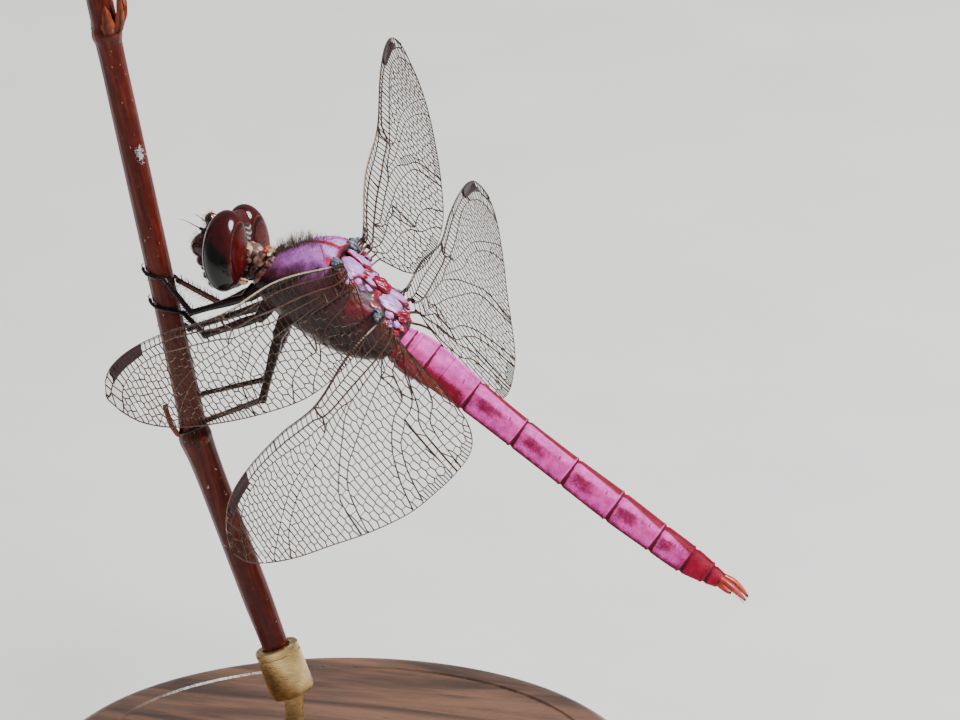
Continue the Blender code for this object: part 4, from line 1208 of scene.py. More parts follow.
def vein_depth(veins, order, share):
    """Share of the chord at which a vein lies; before its start it keeps to the neighbour that it leaves."""
    _, leaves, ends, _, _, course = veins[order]
    if share < course[0][0]:
        return vein_depth(veins, order + (1 if leaves == "rear" else -1), share)
    if share > course[-1][0]:
        return 1.0 if ends == "margin" else vein_depth(veins, order - 1, share)
    return min(1.0, max(0.0, curve_value(course, share)))


def wing_surface(name):
    """A function from the wing's plane, in millimetres out and ahead, to the insect's frame."""
    sweep, lowered, twist = (math.radians(angle) for angle in WING_POSE[name][:3])
    root_height, washout, bend, upturn = WING_POSE[name][3:]
    kind = name.split("_")[0]
    wing = WING_KINDS[kind]
    side = -1.0 if name.endswith("left") else 1.0
    span = Vector((-math.sin(sweep) * math.cos(lowered), side * math.cos(sweep) * math.cos(lowered),
                   -math.sin(lowered)))
    ahead_axis = Vector((-1.0, 0.0, 0.0))
    ahead_axis = (ahead_axis - span * ahead_axis.dot(span)).normalized()
    above = ahead_axis.cross(span) * -side
    chord = ahead_axis * math.cos(twist) + above * math.sin(twist)
    normal = chord.cross(span) * -side
    root = Vector((wing.back, side * WING_SIDE, root_height))

    def surface(out, ahead, lift=0.0):
        share = out / wing.length
        height = (upturn * (ahead / 10.0) ** 2 + ahead * math.sin(math.radians(washout) * share)
                  + bend * share * share + lift)
        return root + span * out + chord * ahead + normal * height
    return surface


def wing_chord(kind, share):
    """Leading and trailing edge of the wing's plane at a share of its span, rounded off at the tip."""
    wing = WING_KINDS[kind]
    return curve_value(wing.lead, share), curve_value(wing.trail, share)


def chord_point(kind, share, depth):
    """How far ahead of the wing's axis a depth of the chord lies, from 0 in front to 1 behind."""
    lead, trail = wing_chord(kind, share)
    return lead + (trail - lead) * depth


def pleat(kind, share, ahead):
    """The light folds between the long veins at the leading edge."""
    front, rear = wing_chord(kind, clamped(share))
    depth = (front - ahead) / max(0.5, front - rear)
    fade = 1.0 - ramp(0.20, 0.38, depth)
    return PLEAT_HEIGHT * math.cos(2.0 * math.pi * depth / PLEAT_DEPTH) * fade * (1.0 - 0.6 * share)


def field_outline(kind, veins, order, reach):
    """Corner points of the field between a vein and the next one behind it, in the wing's plane."""
    start, stop = reach
    count = max(4, round((stop - start) / 0.012))
    length = WING_KINDS[kind].length
    front, rear = [], []
    for i in range(count + 1):
        share = start + (stop - start) * i / count
        for edge, number in ((front, order), (rear, order + 1)):
            ahead = chord_point(kind, share, vein_depth(veins, number, share))
            edge.append(Vector((share * length, ahead, 0.0)))
    return front, rear


def open_reaches(veins, kind, order):
    """Stretches of the span along which the field behind a vein is open."""
    reaches, begun = [], None
    steps = 250
    for i in range(steps + 1):
        share = i / steps
        lead, trail = wing_chord(kind, share)
        width = (vein_depth(veins, order + 1, share) - vein_depth(veins, order, share)) * (lead - trail)
        if width > FIELD_WIDTH and begun is None:
            begun = share
        if begun is not None and (width <= FIELD_WIDTH or i == steps):
            if share - begun > FIELD_LENGTH:
                reaches.append((max(0.0, begun - FIELD_OVERLAP),
                                min(1.0, share + (FIELD_OVERLAP if i < steps else 0.0))))
            begun = None
    return reaches


def cell_size(share, order):
    """Pitch along the wing and height across it of the cells at a share of the span."""
    pitch = 1.03 - 0.30 * ramp(0.45, 0.95, share)
    if order == 0:
        return 1.05 - 0.25 * ramp(0.5, 1.0, share), 3.0
    if order in (1, 2):
        return 0.95 * pitch, 2.2
    return 0.92 * pitch, 0.84 - 0.22 * ramp(0.4, 0.9, share)


def edge_height(edge, across):
    return curve_value([(point.x, point.y) for point in edge], across)


def field_seeds(kind, front, rear, order, at_margin, chance):
    """Staggered middles for the cells of one field, with a closer row along the trailing edge."""
    seeds = []
    length = WING_KINDS[kind].length
    across = front[0].x
    column = 0
    while across < front[-1].x:
        share = across / length
        pitch, height = cell_size(share, order)
        lead, trail = (edge_height(edge, across + 0.5 * pitch) for edge in (front, rear))
        width = lead - trail
        margin = MARGIN_ROW_WIDTH if at_margin and width > MARGIN_ROW_FROM else 0.0
        rows = max(1, round((width - margin) / height))
        for row in range(rows):
            shift = (0.25 if column % 2 else -0.25) if rows > 1 else 0.0
            at = (row + 0.5 + shift) / rows
            wobble = 0.10 if rows > 1 else 0.03
            out = across + 0.5 * pitch + chance.uniform(-wobble, wobble) * pitch
            jog = chance.uniform(-wobble, wobble) * height * (rows > 1)
            seeds.append((out, lead - at * (width - margin) + jog))
        across += pitch
        column += 1
    if at_margin:
        across = front[0].x + 0.25
        while across < front[-1].x - 0.1:
            lead, trail = (edge_height(edge, across) for edge in (front, rear))
            if lead - trail > MARGIN_ROW_FROM:
                seeds.append((across + chance.uniform(-0.04, 0.04),
                              trail + 0.36 + chance.uniform(-0.04, 0.04)))
            across += MARGIN_ROW_PITCH
    return seeds


def cut_cells(cells, outline, seeds):
    """Cut a field's outline into the cells nearest each seed and add them to the wing's cells."""
    points = np.array(seeds)
    for seed in points:
        gaps = np.hypot(*(points - seed).T)
        near = [i for i in np.argsort(gaps)[1:16] if gaps[i] < WIDEST_CELL]
        piece = bmesh.new()
        piece.faces.new([piece.verts.new(corner) for corner in outline])
        for i in near:
            middle = 0.5 * (points[i] + seed)
            away = points[i] - seed
            bmesh.ops.bisect_plane(piece, geom=piece.verts[:] + piece.edges[:] + piece.faces[:],
                                   plane_co=(middle[0], middle[1], 0.0), plane_no=(away[0], away[1], 0.0),
                                   clear_outer=True, dist=1e-5)
        bmesh.ops.remove_doubles(piece, verts=piece.verts, dist=0.02)
        for face in piece.faces:
            if face.calc_area() > LEAST_CELL:
                cells.faces.new([cells.verts.new(vert.co) for vert in face.verts])
        piece.free()


def wing_cells(kind, seed):
    """All the cells of a wing, flat in its plane."""
    veins = WING_VEINS[kind]
    chance = random.Random(seed)
    cells = bmesh.new()
    for order in range(len(veins) - 1):
        for reach in open_reaches(veins, kind, order):
            front, rear = field_outline(kind, veins, order, reach)
            loop = front + rear[::-1]
            outline = [p for i, p in enumerate(loop) if (p - loop[i - 1]).length > 1e-3]
            mid = 0.5 * (reach[0] + reach[1])
            at_margin = vein_depth(veins, order + 1, mid) > 0.985
            seeds = field_seeds(kind, front, rear, order, at_margin, chance)
            if seeds and len(outline) > 2:
                cut_cells(cells, outline, seeds)
    return cells


def lay_on_wing(bm, kind, surface):
    length = WING_KINDS[kind].length
    for vert in bm.verts:
        out, ahead = vert.co.x, vert.co.y
        vert.co = surface(out, ahead, pleat(kind, out / length, ahead) + vert.co.z)


def add_copy(bm, source):
    """Add another shape's faces to this one, which then owns them."""
    mesh = bpy.data.meshes.new("held")
    source.to_mesh(mesh)
    bm.from_mesh(mesh)
    bpy.data.meshes.remove(mesh)


def vein_net(cells, kind, surface, width, marks):
    """The thin veins: a narrow rim inside each cell, thickened."""
    net = cells.copy()
    for mark_name in MARKS:
        net.verts.layers.float.new(mark_name)
    bmesh.ops.remove_doubles(net, verts=net.verts, dist=SAME_CORNER)
    rims = set(bmesh.ops.inset_individual(net, faces=net.faces[:], thickness=0.5 * width,
                                          use_even_offset=True)["faces"])
    bmesh.ops.delete(net, geom=[face for face in net.faces if face not in rims], context="FACES")
    layers = net.verts.layers.float.values()
    length = WING_KINDS[kind].length
    for vert in net.verts:
        for layer, value in zip(layers, marks(vert.co.x / length, vert.co.y)):
            vert[layer] = value
    lay_on_wing(net, kind, surface)
    bmesh.ops.solidify(net, geom=net.faces[:], thickness=NET_THICKNESS)
    return net


def wing_tubes(bm, kind, surface, left):
    """The long veins, the knot, the triangle and the other strong cross veins."""
    veins = WING_VEINS[kind]
    length, knot = WING_KINDS[kind].length, WING_KINDS[kind].knot

    def at(share, depth):
        ahead = chord_point(kind, share, depth)
        return surface(share * length, ahead, pleat(kind, share, ahead))

    for order, (name, _, _, radius, red, course) in enumerate(veins):
        start, stop = course[0][0], course[-1][0]
        count = max(6, round((stop - start) * length / 0.8))
        shares = [start + (stop - start) * i / count for i in range(count + 1)]
        path = [at(share, vein_depth(veins, order, share)) for share in shares]
        radii, marks = [], []
        slimness = 0.46 if name == "costa" else VEIN_SLIMNESS
        for share in shares:
            root = 1.0 + 1.6 * math.exp(-share / 0.018) * (name in ("costa", "radius", "rear_media"))
            radii.append(max(0.034, slimness * radius * root * (1.0 - 0.42 * ramp(0.3, 1.0, share))))
            # The costa's pale mark is partly its own cream colour before the knot and partly a painted
            # highlight. The pale towards the tip is painted highlight, and the near left wings carry it at
            # full strength where the far right ones get only 0.6 of it.
            pale = 0.0
            if name == "costa":
                pale = (0.85 if kind == "forewing" else 0.75 * (1.0 - ramp(0.05, 0.25, share))) * (
                    1.0 - ramp(knot - 0.06, knot, share)) * ramp(0.02, 0.08, share)
                pale = max(pale, 0.35 * ramp(0.72, 0.9, share))
            marks.append((0.0, 0.7 * red * (1.0 - ramp(0.25, 0.6, share)),
                          pale if left else max(0.14, 0.6 * pale), 0.5 * math.exp(-share / 0.03)))
        tube(bm, path, radii, 8, marks)
        if name == "costa":                 # its dark rear edge
            tube(bm, [at(share, 0.0) + (at(share, 0.02) - at(share, 0.0)).normalized() * radius * 0.85
                      for share in shares], [0.6 * value for value in radii], 6, (0.0, 0.1, 0.0, 0.8))
    joints = [(knot, 0.0)] + [(knot + step, vein_depth(veins, order, knot + step))
                              for order, step in ((2, -0.016), (3, 0.002), (4, 0.016))]
    knot_veins = tuple(zip(joints, joints[1:], (0.13, 0.11, 0.09)))
    for (share, depth), (last_share, last_depth), radius in knot_veins + STRONG_VEINS[kind]:
        path = [at(share + (last_share - share) * i / 5, depth + (last_depth - depth) * i / 5)
                for i in range(6)]
        tube(bm, path, VEIN_SLIMNESS * radius, 8, (0.0, 0.1, 0.0, 0.5))


def wing_spot(bm, kind, surface):
    """The thick dark spot between the costa and the radius."""
    veins = WING_VEINS[kind]
    length, (start, stop) = WING_KINDS[kind].length, WING_KINDS[kind].spot

    def place(turn, along):
        share = start + (stop - start) * along
        depth = 1.35 * vein_depth(veins, 2, min(0.99, share))
        lead, trail = wing_chord(kind, share)
        across = 0.5 - 0.5 * math.cos(2.0 * math.pi * turn)
        ahead = lead + (trail - lead) * depth * across
        lift = pleat(kind, share, ahead) + 0.13 * end_share(along, 0.02) * math.sin(2.0 * math.pi * turn)
        return surface((share + SPOT_SLANT * across) * length, ahead, lift), ()
    sheet(bm, 24, 60, place)


def stub_bristles(bm, surface, chance):
    """Short stiff hairs on the outer root of the leading edge."""
    held = new_shape(MARKS)
    for _ in range(BRISTLES):
        out = chance.uniform(-0.2, 1.6)
        base = surface(out, chance.uniform(-0.25, 0.15), 0.12)
        tip = surface(out + chance.uniform(0.25, 0.55), chance.uniform(-0.1, 0.35),
                      0.12 + chance.uniform(0.2, 0.45))
        tube(held, (base, base.lerp(tip, 0.5), tip), (0.028, 0.022, 0.006), 4,
             (0.2, 0.0, 0.5 * (chance.random() > 0.6), 0.6))
    add_copy(bm, held)
    held.free()


def root_struts(bm, kind, surface):
    """Stout vein roots that gather from the wing's base edge to its hinge on the thorax."""
    rear = wing_chord(kind, 0.0)[1]
    gather = 0.45 if kind == "hindwing" else 0.8
    for share, radius in ROOT_STRUTS:
        start = surface(0.35, rear * share)
        hinge = surface(0.0, rear * share * gather)
        hinge = Vector((hinge.x, hinge.y * 0.60, hinge.z - 0.9))
        middle = start.lerp(hinge, 0.45) + Vector((0.0, 0.0, 0.15))
        path = smooth_path((start, middle, hinge), 6)
        radii = [radius * (1.0 + 0.5 * i / len(path)) for i in range(len(path))]
        tube(bm, path, radii, 10, (0.0, 0.35, 0.12, 0.0))


def spot_material(tone):
    material, tree, shader = new_material("wing_spots", Specular_IOR_Level=0.07)
    lumps = noise(tree, body_coordinates(tree), 3.0, 4.0)
    feed(tree, shader, Base_Color=mix_colour(tree, lumps, tone, (0.030, 0.017, 0.018)),
         Roughness=map_range(tree, lumps, 0.2, 0.8, 0.3, 0.5))
    relief(tree, shader, lumps, 0.03)
    return material


def membrane_material():
    """A clear film that a slight cloud, the amber roots and the smoky tips make less clear."""
    material, tree, shader = new_material("wing_membrane", Roughness=0.10, Specular_IOR_Level=0.30, IOR=1.5)
    vector = body_coordinates(tree)
    smoke, amber = mark(tree, "smoke"), mark(tree, "amber")
    tint = mix_colour(tree, smoke, (0.060, 0.042, 0.030), (0.030, 0.020, 0.016))
    haze = map_range(tree, noise(tree, vector, 0.16, 4.0), 0.25, 0.75, 0.012, 0.026)
    haze = work_out(tree, "ADD", haze, work_out(tree, "MULTIPLY", smoke, 0.13))
    haze = work_out(tree, "ADD", haze, work_out(tree, "MULTIPLY", amber, 0.07), clamp=True)
    feed(tree, shader, Base_Color=mix_colour(tree, amber, tint, (0.30, 0.10, 0.012)), Alpha=haze)
    relief(tree, shader, noise(tree, vector, 0.5, 2.0), 0.006, 0.3)
    return material


class DRAGONFLY_OT_wings(bpy.types.Operator):
    """Make the four clear wings with their long veins, cells, knots and dark spots"""
    bl_idname = "dragonfly.wings"
    bl_label = "Wings"

    def execute(self, context):
        settings = context.scene.dragonfly_wings
        width = settings.vein_width / MM
        veins = marked_material(
            "wing_veins", tuple(settings.vein_colour), (0.10, 0.11, 0.14), (0.080, 0.012, 0.009),
            (0.56, 0.42, 0.28), (0.010, 0.005, 0.005), wear=0.25, gloss=(0.28, 0.4), bump=0.01,
            Coat_Weight=0.2, Coat_Roughness=0.2)
        spots = spot_material(tuple(settings.stigma_colour))
        clear = membrane_material()
        layouts = {kind: wing_cells(kind, seed) for kind, seed in (("forewing", 5), ("hindwing", 8))}
        for name in WING_POSE:
            kind = name.split("_")[0]
            cells, surface = layouts[kind], wing_surface(name)
            length = WING_KINDS[kind].length
            left = name.endswith("left")

            def net_marks(share, ahead):
                near = 1.0 - ramp(0.2, 0.55, share)
                return 0.0, 0.20 * near, 0.22 * near * (ahead > -1.2) if left else 0.16, 0.0
            net = vein_net(cells, kind, surface, width, net_marks)
            bm = new_shape(MARKS)
            add_copy(bm, net)
            net.free()
            wing_tubes(bm, kind, surface, left)
            root_struts(bm, kind, surface)
            stub_bristles(bm, surface, random.Random(name))
            finish_piece(bm, name + "_veins", veins, INSECT, (name,), crease=60.0)

            bm = new_shape()
            wing_spot(bm, kind, surface)
            finish_piece(bm, name + "_spot", spots, INSECT, crease=None)

            film = cells.copy()
            smoke = film.verts.layers.float.new("smoke")
            amber = film.verts.layers.float.new("amber")
            bmesh.ops.remove_doubles(film, verts=film.verts, dist=SAME_CORNER)
            for vert in film.verts:
                share = vert.co.x / length
                vert[smoke] = 0.10 + 0.12 * ramp(0.45, 0.8, share) + 0.6 * ramp(0.88, 0.99, share)
                vert[amber] = (1.0 - ramp(0.0, 0.05 if kind == "forewing" else 0.075, share)) * 0.8
            lay_on_wing(film, kind, surface)
            bmesh.ops.solidify(film, geom=film.faces[:], thickness=FILM_THICKNESS)
            finish_piece(film, name + "_membrane", clear, INSECT, crease=None)
        for cells in layouts.values():
            cells.free()
        return {"FINISHED"}


# ---------------------------------------------------------------- legs

TWIG_KINK = Vector((-13.6, 0.0, -17.6))
TWIG_UPPER_LEAN = math.radians(11.8)
TWIG_LOWER_LEAN = math.radians(20.5)
TWIG_UPPER_LENGTH = 40.0
TWIG_LOWER_LENGTH = 22.8
LEG_REACH = TWIG_RADIUS + 0.19      # from the twig's middle to the middle of a foot's segments
TRACK_STEPS = 18
FEMUR_RADII = {"front": (0.40, 0.28), "middle": (0.45, 0.31), "hind": (0.50, 0.36)}
LEGS = {
    # name: (coxa, hip, knee) in the insect's frame, then (ankle height, claw height, start and end turns)
    "front_left": ((-4.3, -0.9, -7.6), (-4.5, -1.5, -8.5), (-7.3, -2.6, -12.3), (-3.4, -2.5, 60, 165)),
    "middle_left": ((-2.7, -1.2, -7.9), (-2.6, -2.0, -8.9), (-5.2, -3.2, -12.8), (-6.7, -5.2, 5, 165)),
    "hind_left": ((-0.8, -1.4, -7.9), (-0.5, -2.2, -8.9), (1.9, -4.2, -13.6), (-16.1, -17.0, 5, 165)),
    "front_right": ((-4.3, 0.9, -7.6), (-4.4, 1.5, -8.6), (-5.9, 2.6, -12.3), (-4.0, -3.6, 10, 150)),
    "middle_right": ((-2.7, 1.2, -7.9), (-2.6, 2.0, -8.9), (-4.9, 3.2, -13.3), (-8.3, -7.6, 10, 150)),
    "hind_right": ((-0.8, 1.4, -7.9), (-0.7, 2.2, -8.9), (1.0, 3.2, -15.4), (-13.9, -15.2, 10, 150)),
}


def twig_axis(distance):
    """Centre of the twig at a distance along it from its kink, positive upwards."""
    lean = TWIG_UPPER_LEAN if distance > 0 else TWIG_LOWER_LEAN
    return TWIG_KINK + Vector((-math.sin(lean), 0.0, math.cos(lean))) * distance


def grip_point(height, turn, side, reach):
    """A point held against the twig: its height below the insect, its turn from the tail side."""
    lean = TWIG_UPPER_LEAN
    centre = twig_axis((height - TWIG_KINK.z) / math.cos(lean))
    outward = Vector((math.cos(lean), 0.0, math.sin(lean)))
    angle = math.radians(turn)
    return centre + (outward * math.cos(angle) + Vector((0.0, side, 0.0)) * math.sin(angle)) * reach


def spines(bm, start, stop, count, reach, turns, chance, thick):
    """Rows of stiff bristles that lean towards the foot."""
    along = (stop - start).normalized()
    across = along.orthogonal().normalized()
    for i in range(count):
        for turn in turns:
            angle = math.radians(turn + chance.uniform(-14.0, 14.0))
            out = across * math.cos(angle) + along.cross(across) * math.sin(angle)
            root = start.lerp(stop, (i + chance.uniform(0.2, 0.8)) / count) + out * 0.16
            tip = root + (out * 0.75 + along * 0.65).normalized() * reach * chance.uniform(0.75, 1.15)
            middle = root.lerp(tip, 0.5) + out * 0.04
            tube(bm, (root, middle, tip), (thick, thick * 0.75, 0.008), 4, (0.0, 0.15, 0.0, 0.9))


def thigh(bm, coxa, hip, knee, radii, red):
    """The leg's short first piece, the hip and the stout femur."""
    thick, thin = radii
    path = smooth_path((coxa, coxa.lerp(hip, 0.6), hip), 5)
    tube(bm, path, [0.72 - 0.22 * i / (len(path) - 1) for i in range(len(path))], 24,
         (0.0, 0.25, 0.0, 0.35), shape=lambda turn: 1.0 + 0.06 * math.cos(3.0 * turn))
    dome(bm, hip, (thick * 1.12,) * 3, segments=24, rings=16, paint=lambda unit: (1.0, (0.0, 0.2, 0.0, 0.5)))
    steps = 16
    tube(bm, [hip.lerp(knee, i / steps) for i in range(steps + 1)],
         [thick * (0.72 + 0.34 * math.sin(math.pi * min(1.0, 1.5 * i / steps))) * (1.0 - i / steps)
          + thin * i / steps for i in range(steps + 1)], 20,
         [(0.0, red, 0.0, 0.3 + 0.5 * i / steps) for i in range(steps + 1)],
         shape=lambda turn: 1.0 + 0.05 * math.cos(4.0 * turn))


def shin(bm, knee, ankle, thin, red):
    """The knee and the slender tibia."""
    dome(bm, knee, (thin * 1.08,) * 3, segments=20, rings=14, paint=lambda unit: (1.0, (0.0, 0.1, 0.0, 0.8)))
    steps = 18
    tube(bm, [knee.lerp(ankle, i / steps) for i in range(steps + 1)],
         [0.235 - 0.045 * i / steps + 0.03 * (i > 16) for i in range(steps + 1)], 16,
         [(0.0, red * 1.1, 0.25 * red, 0.2 + 0.3 * (i > 16)) for i in range(steps + 1)],
         shape=lambda turn: 1.0 + 0.12 * abs(math.cos(2.0 * turn)))


def claws(bm, track, middle):
    """Two hooked claws on a foot's end, which bend in to the twig's middle."""
    end = track[-1]
    along = (end - track[-2]).normalized()
    inward = (middle - end).normalized()
    for spread in (-1.0, 1.0):
        aside = along.cross(inward) * spread
        claw = smooth_path((end, end + along * 0.28 + aside * 0.16 - inward * 0.06,
                            end + along * 0.50 + aside * 0.24 + inward * 0.16), 5)
        tube(bm, claw, [0.075 - 0.0065 * i for i in range(len(claw))], 8, (0.0, 0.3, 0.0, 0.6))
        hook = (claw[6], claw[6] + inward * 0.14 + along * 0.02)
        tube(bm, hook, (0.035, 0.01), 6, (0.0, 0.3, 0.0, 0.6))


def foot_spurs(bm, track, middles):
    """Pairs of small spurs along a foot."""
    for i in range(1, len(track) - 3, 2):
        out = (track[i] - middles[i]).normalized()
        ahead = (track[i + 1] - track[i]).normalized()
        cross = ahead.cross(out)
        for side in (-1.0, 1.0):
            root = track[i] + cross * 0.12 * side
            tube(bm, (root, root + cross * 0.12 * side + ahead * 0.22), (0.026, 0.007), 4,
                 (0.0, 0.1, 0.0, 0.9))


class DRAGONFLY_OT_legs(bpy.types.Operator):
    """Make the six glossy, bristled legs that grip the twig"""
    bl_idname = "dragonfly.legs"
    bl_label = "Legs"

    def execute(self, context):
        shell = marked_material(
            "leg_shell", (0.013, 0.0055, 0.0045), (0.05, 0.05, 0.05), (0.11, 0.020, 0.012),
            (0.45, 0.38, 0.30), (0.008, 0.005, 0.005), wear=0.5, gloss=(0.24, 0.45), bump=0.02,
            Coat_Weight=0.35, Coat_Roughness=0.12)
        to_frame = Matrix.Rotation(-BODY_PITCH, 4, "Y")
        for number, (name, (coxa, hip, knee, foot)) in enumerate(LEGS.items()):
            chance = random.Random(40 + number)
            coxa, hip, knee = Vector(coxa), Vector(hip), Vector(knee)
            ankle_height, claw_height, first_turn, last_turn = foot
            side = -1.0 if name.endswith("left") else 1.0
            radii = FEMUR_RADII[name.split("_")[0]]
            red = 0.75 if name == "front_right" else 0.20
            track, middles = [], []
            for i in range(TRACK_STEPS + 1):
                height = ankle_height + (claw_height - ankle_height) * i / TRACK_STEPS
                turn = first_turn + (last_turn - first_turn) * i / TRACK_STEPS
                track.append(to_frame @ grip_point(height, turn, side, LEG_REACH))
                middles.append(to_frame @ grip_point(height, 0.0, side, 0.0))
            ankle = track[0]
            bm = new_shape(MARKS)
            thigh(bm, coxa, hip, knee, radii, red)
            shin(bm, knee, ankle, radii[1], red)
            tube(bm, track, [0.165 + 0.03 * (i % 6 in (5, 0)) - 0.035 * i / TRACK_STEPS
                             for i in range(TRACK_STEPS + 1)], 14, (0.0, 0.15, 0.0, 0.6))
            claws(bm, track, middles[-1])
            spines(bm, hip.lerp(knee, 0.15), knee, 9, 0.38, (60.0, 170.0, 300.0), chance, 0.030)
            spines(bm, knee, knee.lerp(ankle, 0.96), 11, 0.62, (20.0, 160.0, 200.0, 330.0), chance, 0.034)
            foot_spurs(bm, track, middles)
            finish_piece(bm, "leg_" + name + "_finish", shell, INSECT,
                         [f"leg_{name}_{part}" for part in ("coxa", "femur", "tibia", "tarsus")])
        return {"FINISHED"}


# ---------------------------------------------------------------- twig

TWIG_PROFILE = (                # (distance up from the kink, radius)
    (-22.8, 1.12), (-18.6, 1.12), (-15.0, 1.22), (-4.0, 1.22), (-1.6, 1.28), (-0.6, 1.36), (0.3, 1.42),
    (1.0, 1.24), (1.8, 1.12), (28.0, 1.10), (35.0, 1.12), (35.6, 1.28), (36.1, 1.26), (36.7, 1.12),
    (39.4, 1.06), (40.0, 0.85),
)
TWIG_STEPS = 300
TWIG_RINGS = (35.8, 35.2)           # a pale ring below the bud, and a dark one below it
# Scales at the bud and the kink: distance up, degrees round, (length, width), lean outwards
TWIG_SCALES = (
    (35.9, 345.0, (3.0, 0.85), 0.22), (36.0, 35.0, (2.6, 0.80), 0.34), (35.9, 300.0, (2.7, 0.80), 0.10),
    (36.1, 5.0, (2.0, 0.60), 0.50), (36.0, 150.0, (1.3, 0.70), 0.05), (0.5, 205.0, (3.1, 0.85), 0.20),
    (-0.3, 318.0, (0.8, 0.6), 0.1),
)
FLUFF_HEIGHT = 25.6
FLUFF_STRANDS = 90


def twig_point(distance):
    """The twig's centre with its kink eased."""
    point = twig_axis(distance)
    bend = math.exp(-(distance / 1.1) ** 2) * 0.05
    return point + Vector((-bend, 0.0, 0.0))


def bud_scale(bm, root, up, out, size, seed):
    """A small pointed scale that hugs the twig: a bowed leaf with thickness."""
    across = up.cross(out).normalized()
    long, wide = size

    def place(turn, along):
        half = (wide * min(1.0, 0.55 + 1.8 * along) * (1.0 - along) ** 0.7
                * (1.0 + 0.10 * math.sin(17.0 * along + seed)))
        sweep = math.cos(2.0 * math.pi * turn)
        thick = 0.10 * math.sin(2.0 * math.pi * turn) * (1.0 - 0.7 * along)
        bow = 0.45 * wide * (1.0 - sweep * sweep) + 0.25 * wide * math.sin(math.pi * along)
        end = end_share(along, 0.03)
        ripple = 0.02 * math.sin(9.0 * along + seed)
        point = root + up * long * along + across * half * sweep * end + out * (bow + thick * end + ripple)
        dark = 0.45 * (1.0 - along) + 0.3 * (math.cos(6.0 * math.pi * turn) > 0.9)
        return point, (0.9, 0.2 * along, 0.3 * ramp(0.85, 1.0, along), dark)
    sheet(bm, 28, 22, place)


def bark_material(tone):
    """Smooth red-brown bark with long streaks and pale flecks along the twig."""
    material, tree, shader, _, cuticle = marked_parts(
        "young_bark", (tone, (0.20, 0.040, 0.012), (0.130, 0.014, 0.008), (0.50, 0.28, 0.20),
                       (0.020, 0.008, 0.006)),
        wear=0.5, gloss=(0.30, 0.50), Coat_Weight=0.08, Coat_Roughness=0.20, Specular_IOR_Level=0.15)
    turned = add_node(tree, "ShaderNodeMapping", {"vector_type": "TEXTURE"},
                      Vector=object_coordinates(tree), Rotation=(0.0, -math.radians(14.0), 0.0)).outputs[0]
    streaks = noise(tree, turned, 1.0, 5.0, 0.6, stretch=(3.2, 3.2, 0.16))
    fine = noise(tree, turned, 1.0, 4.0, 0.6, stretch=(10.0, 10.0, 0.9))
    flecks = map_range(tree, noise(tree, turned, 1.0, 2.0, 0.5, stretch=(3.4, 3.4, 1.8)), 0.70, 0.77)
    colour = mix_colour(tree, map_range(tree, streaks, 0.45, 0.72), cuticle.outputs["Colour"],
                        (0.14, 0.022, 0.012))
    colour = mix_colour(tree, map_range(tree, streaks, 0.42, 0.25), colour, (0.014, 0.003, 0.003))
    feed(tree, shader, Base_Color=mix_colour(tree, flecks, colour, (0.46, 0.30, 0.22)))
    height = work_out(tree, "MULTIPLY_ADD", fine, 0.5, streaks)
    relief(tree, shader, work_out(tree, "MULTIPLY_ADD", flecks, 0.7, height), 0.05)
    return material


class DRAGONFLY_OT_twig(bpy.types.Operator):
    """Make the smooth red-brown twig with its node, rings, scales and bud"""
    bl_idname = "dragonfly.twig"
    bl_label = "Twig"

    def execute(self, context):
        settings = context.scene.dragonfly_twig
        place = Matrix.Translation(BODY_ORIGIN)
        bm = new_shape(MARKS)
        distances = [-TWIG_LOWER_LENGTH + (TWIG_LOWER_LENGTH + TWIG_UPPER_LENGTH) * i / TWIG_STEPS
                     for i in range(TWIG_STEPS + 1)]
        radii = [settings.radius / MM / TWIG_RADIUS * curve_value(TWIG_PROFILE, d) for d in distances]
        marks = []
        for d in distances:
            ring = strip(TWIG_RINGS[0], 0.35, d)
            dark = max(0.55 * strip(0.4, 1.0, d), 0.35 * strip(TWIG_RINGS[1], 0.5, d))
            marks.append((0.2 * ring, 0.3, 0.22 * ring, dark))
        tube(bm, [twig_point(d) for d in distances], radii, 56, marks,
             shape=lambda turn: 1.0 + 0.018 * math.cos(5.0 * turn) + 0.012 * math.cos(11.0 * turn + 1.0))
        axis = Vector((-math.sin(TWIG_UPPER_LEAN), 0.0, math.cos(TWIG_UPPER_LEAN)))
        tailwards = Vector((math.cos(TWIG_UPPER_LEAN), 0.0, math.sin(TWIG_UPPER_LEAN)))
        for seed, (distance, turn, size, lean) in enumerate(TWIG_SCALES):
            angle = math.radians(turn)
            out = tailwards * math.cos(angle) + Vector((0.0, 1.0, 0.0)) * math.sin(angle)
            root = twig_point(distance) + out * (curve_value(TWIG_PROFILE, distance) * 0.82)
            bud_scale(bm, root, (axis + out * lean).normalized(), out, size, seed)
        finish_piece(bm, "twig_bark", bark_material(tuple(settings.bark_colour)), place,
                     ("twig",), crease=None)

        fluff, tree, shader = new_material("seed_fluff", Roughness=0.8, Sheen_Weight=0.4)
        soft = noise(tree, object_coordinates(tree), 4.0, 2.0)
        feed(tree, shader, Base_Color=mix_colour(tree, soft, (0.72, 0.71, 0.70), (0.92, 0.92, 0.90)))
        chance = random.Random(3)
        bm = new_shape()
        centre = twig_point(FLUFF_HEIGHT) + Vector((0.80, -0.78, 0.0))
        for _ in range(FLUFF_STRANDS):
            root = centre + Vector((chance.gauss(0.0, 0.18), chance.uniform(-0.05, 0.05),
                                    chance.gauss(0.0, 0.36)))
            way = Vector((chance.gauss(0.0, 1.0), chance.uniform(-1.2, -0.1),
                          chance.gauss(0.0, 1.0))).normalized()
            curl = Vector((chance.gauss(0.0, 0.12), 0.0, chance.gauss(0.0, 0.12)))
            tube(bm, (root, root + way * 0.16 + curl, root + way * 0.30 - curl), (0.016, 0.014, 0.006), 4)
        finish_piece(bm, "twig_fluff", fluff, place)
        return {"FINISHED"}


# ---------------------------------------------------------------- display stand

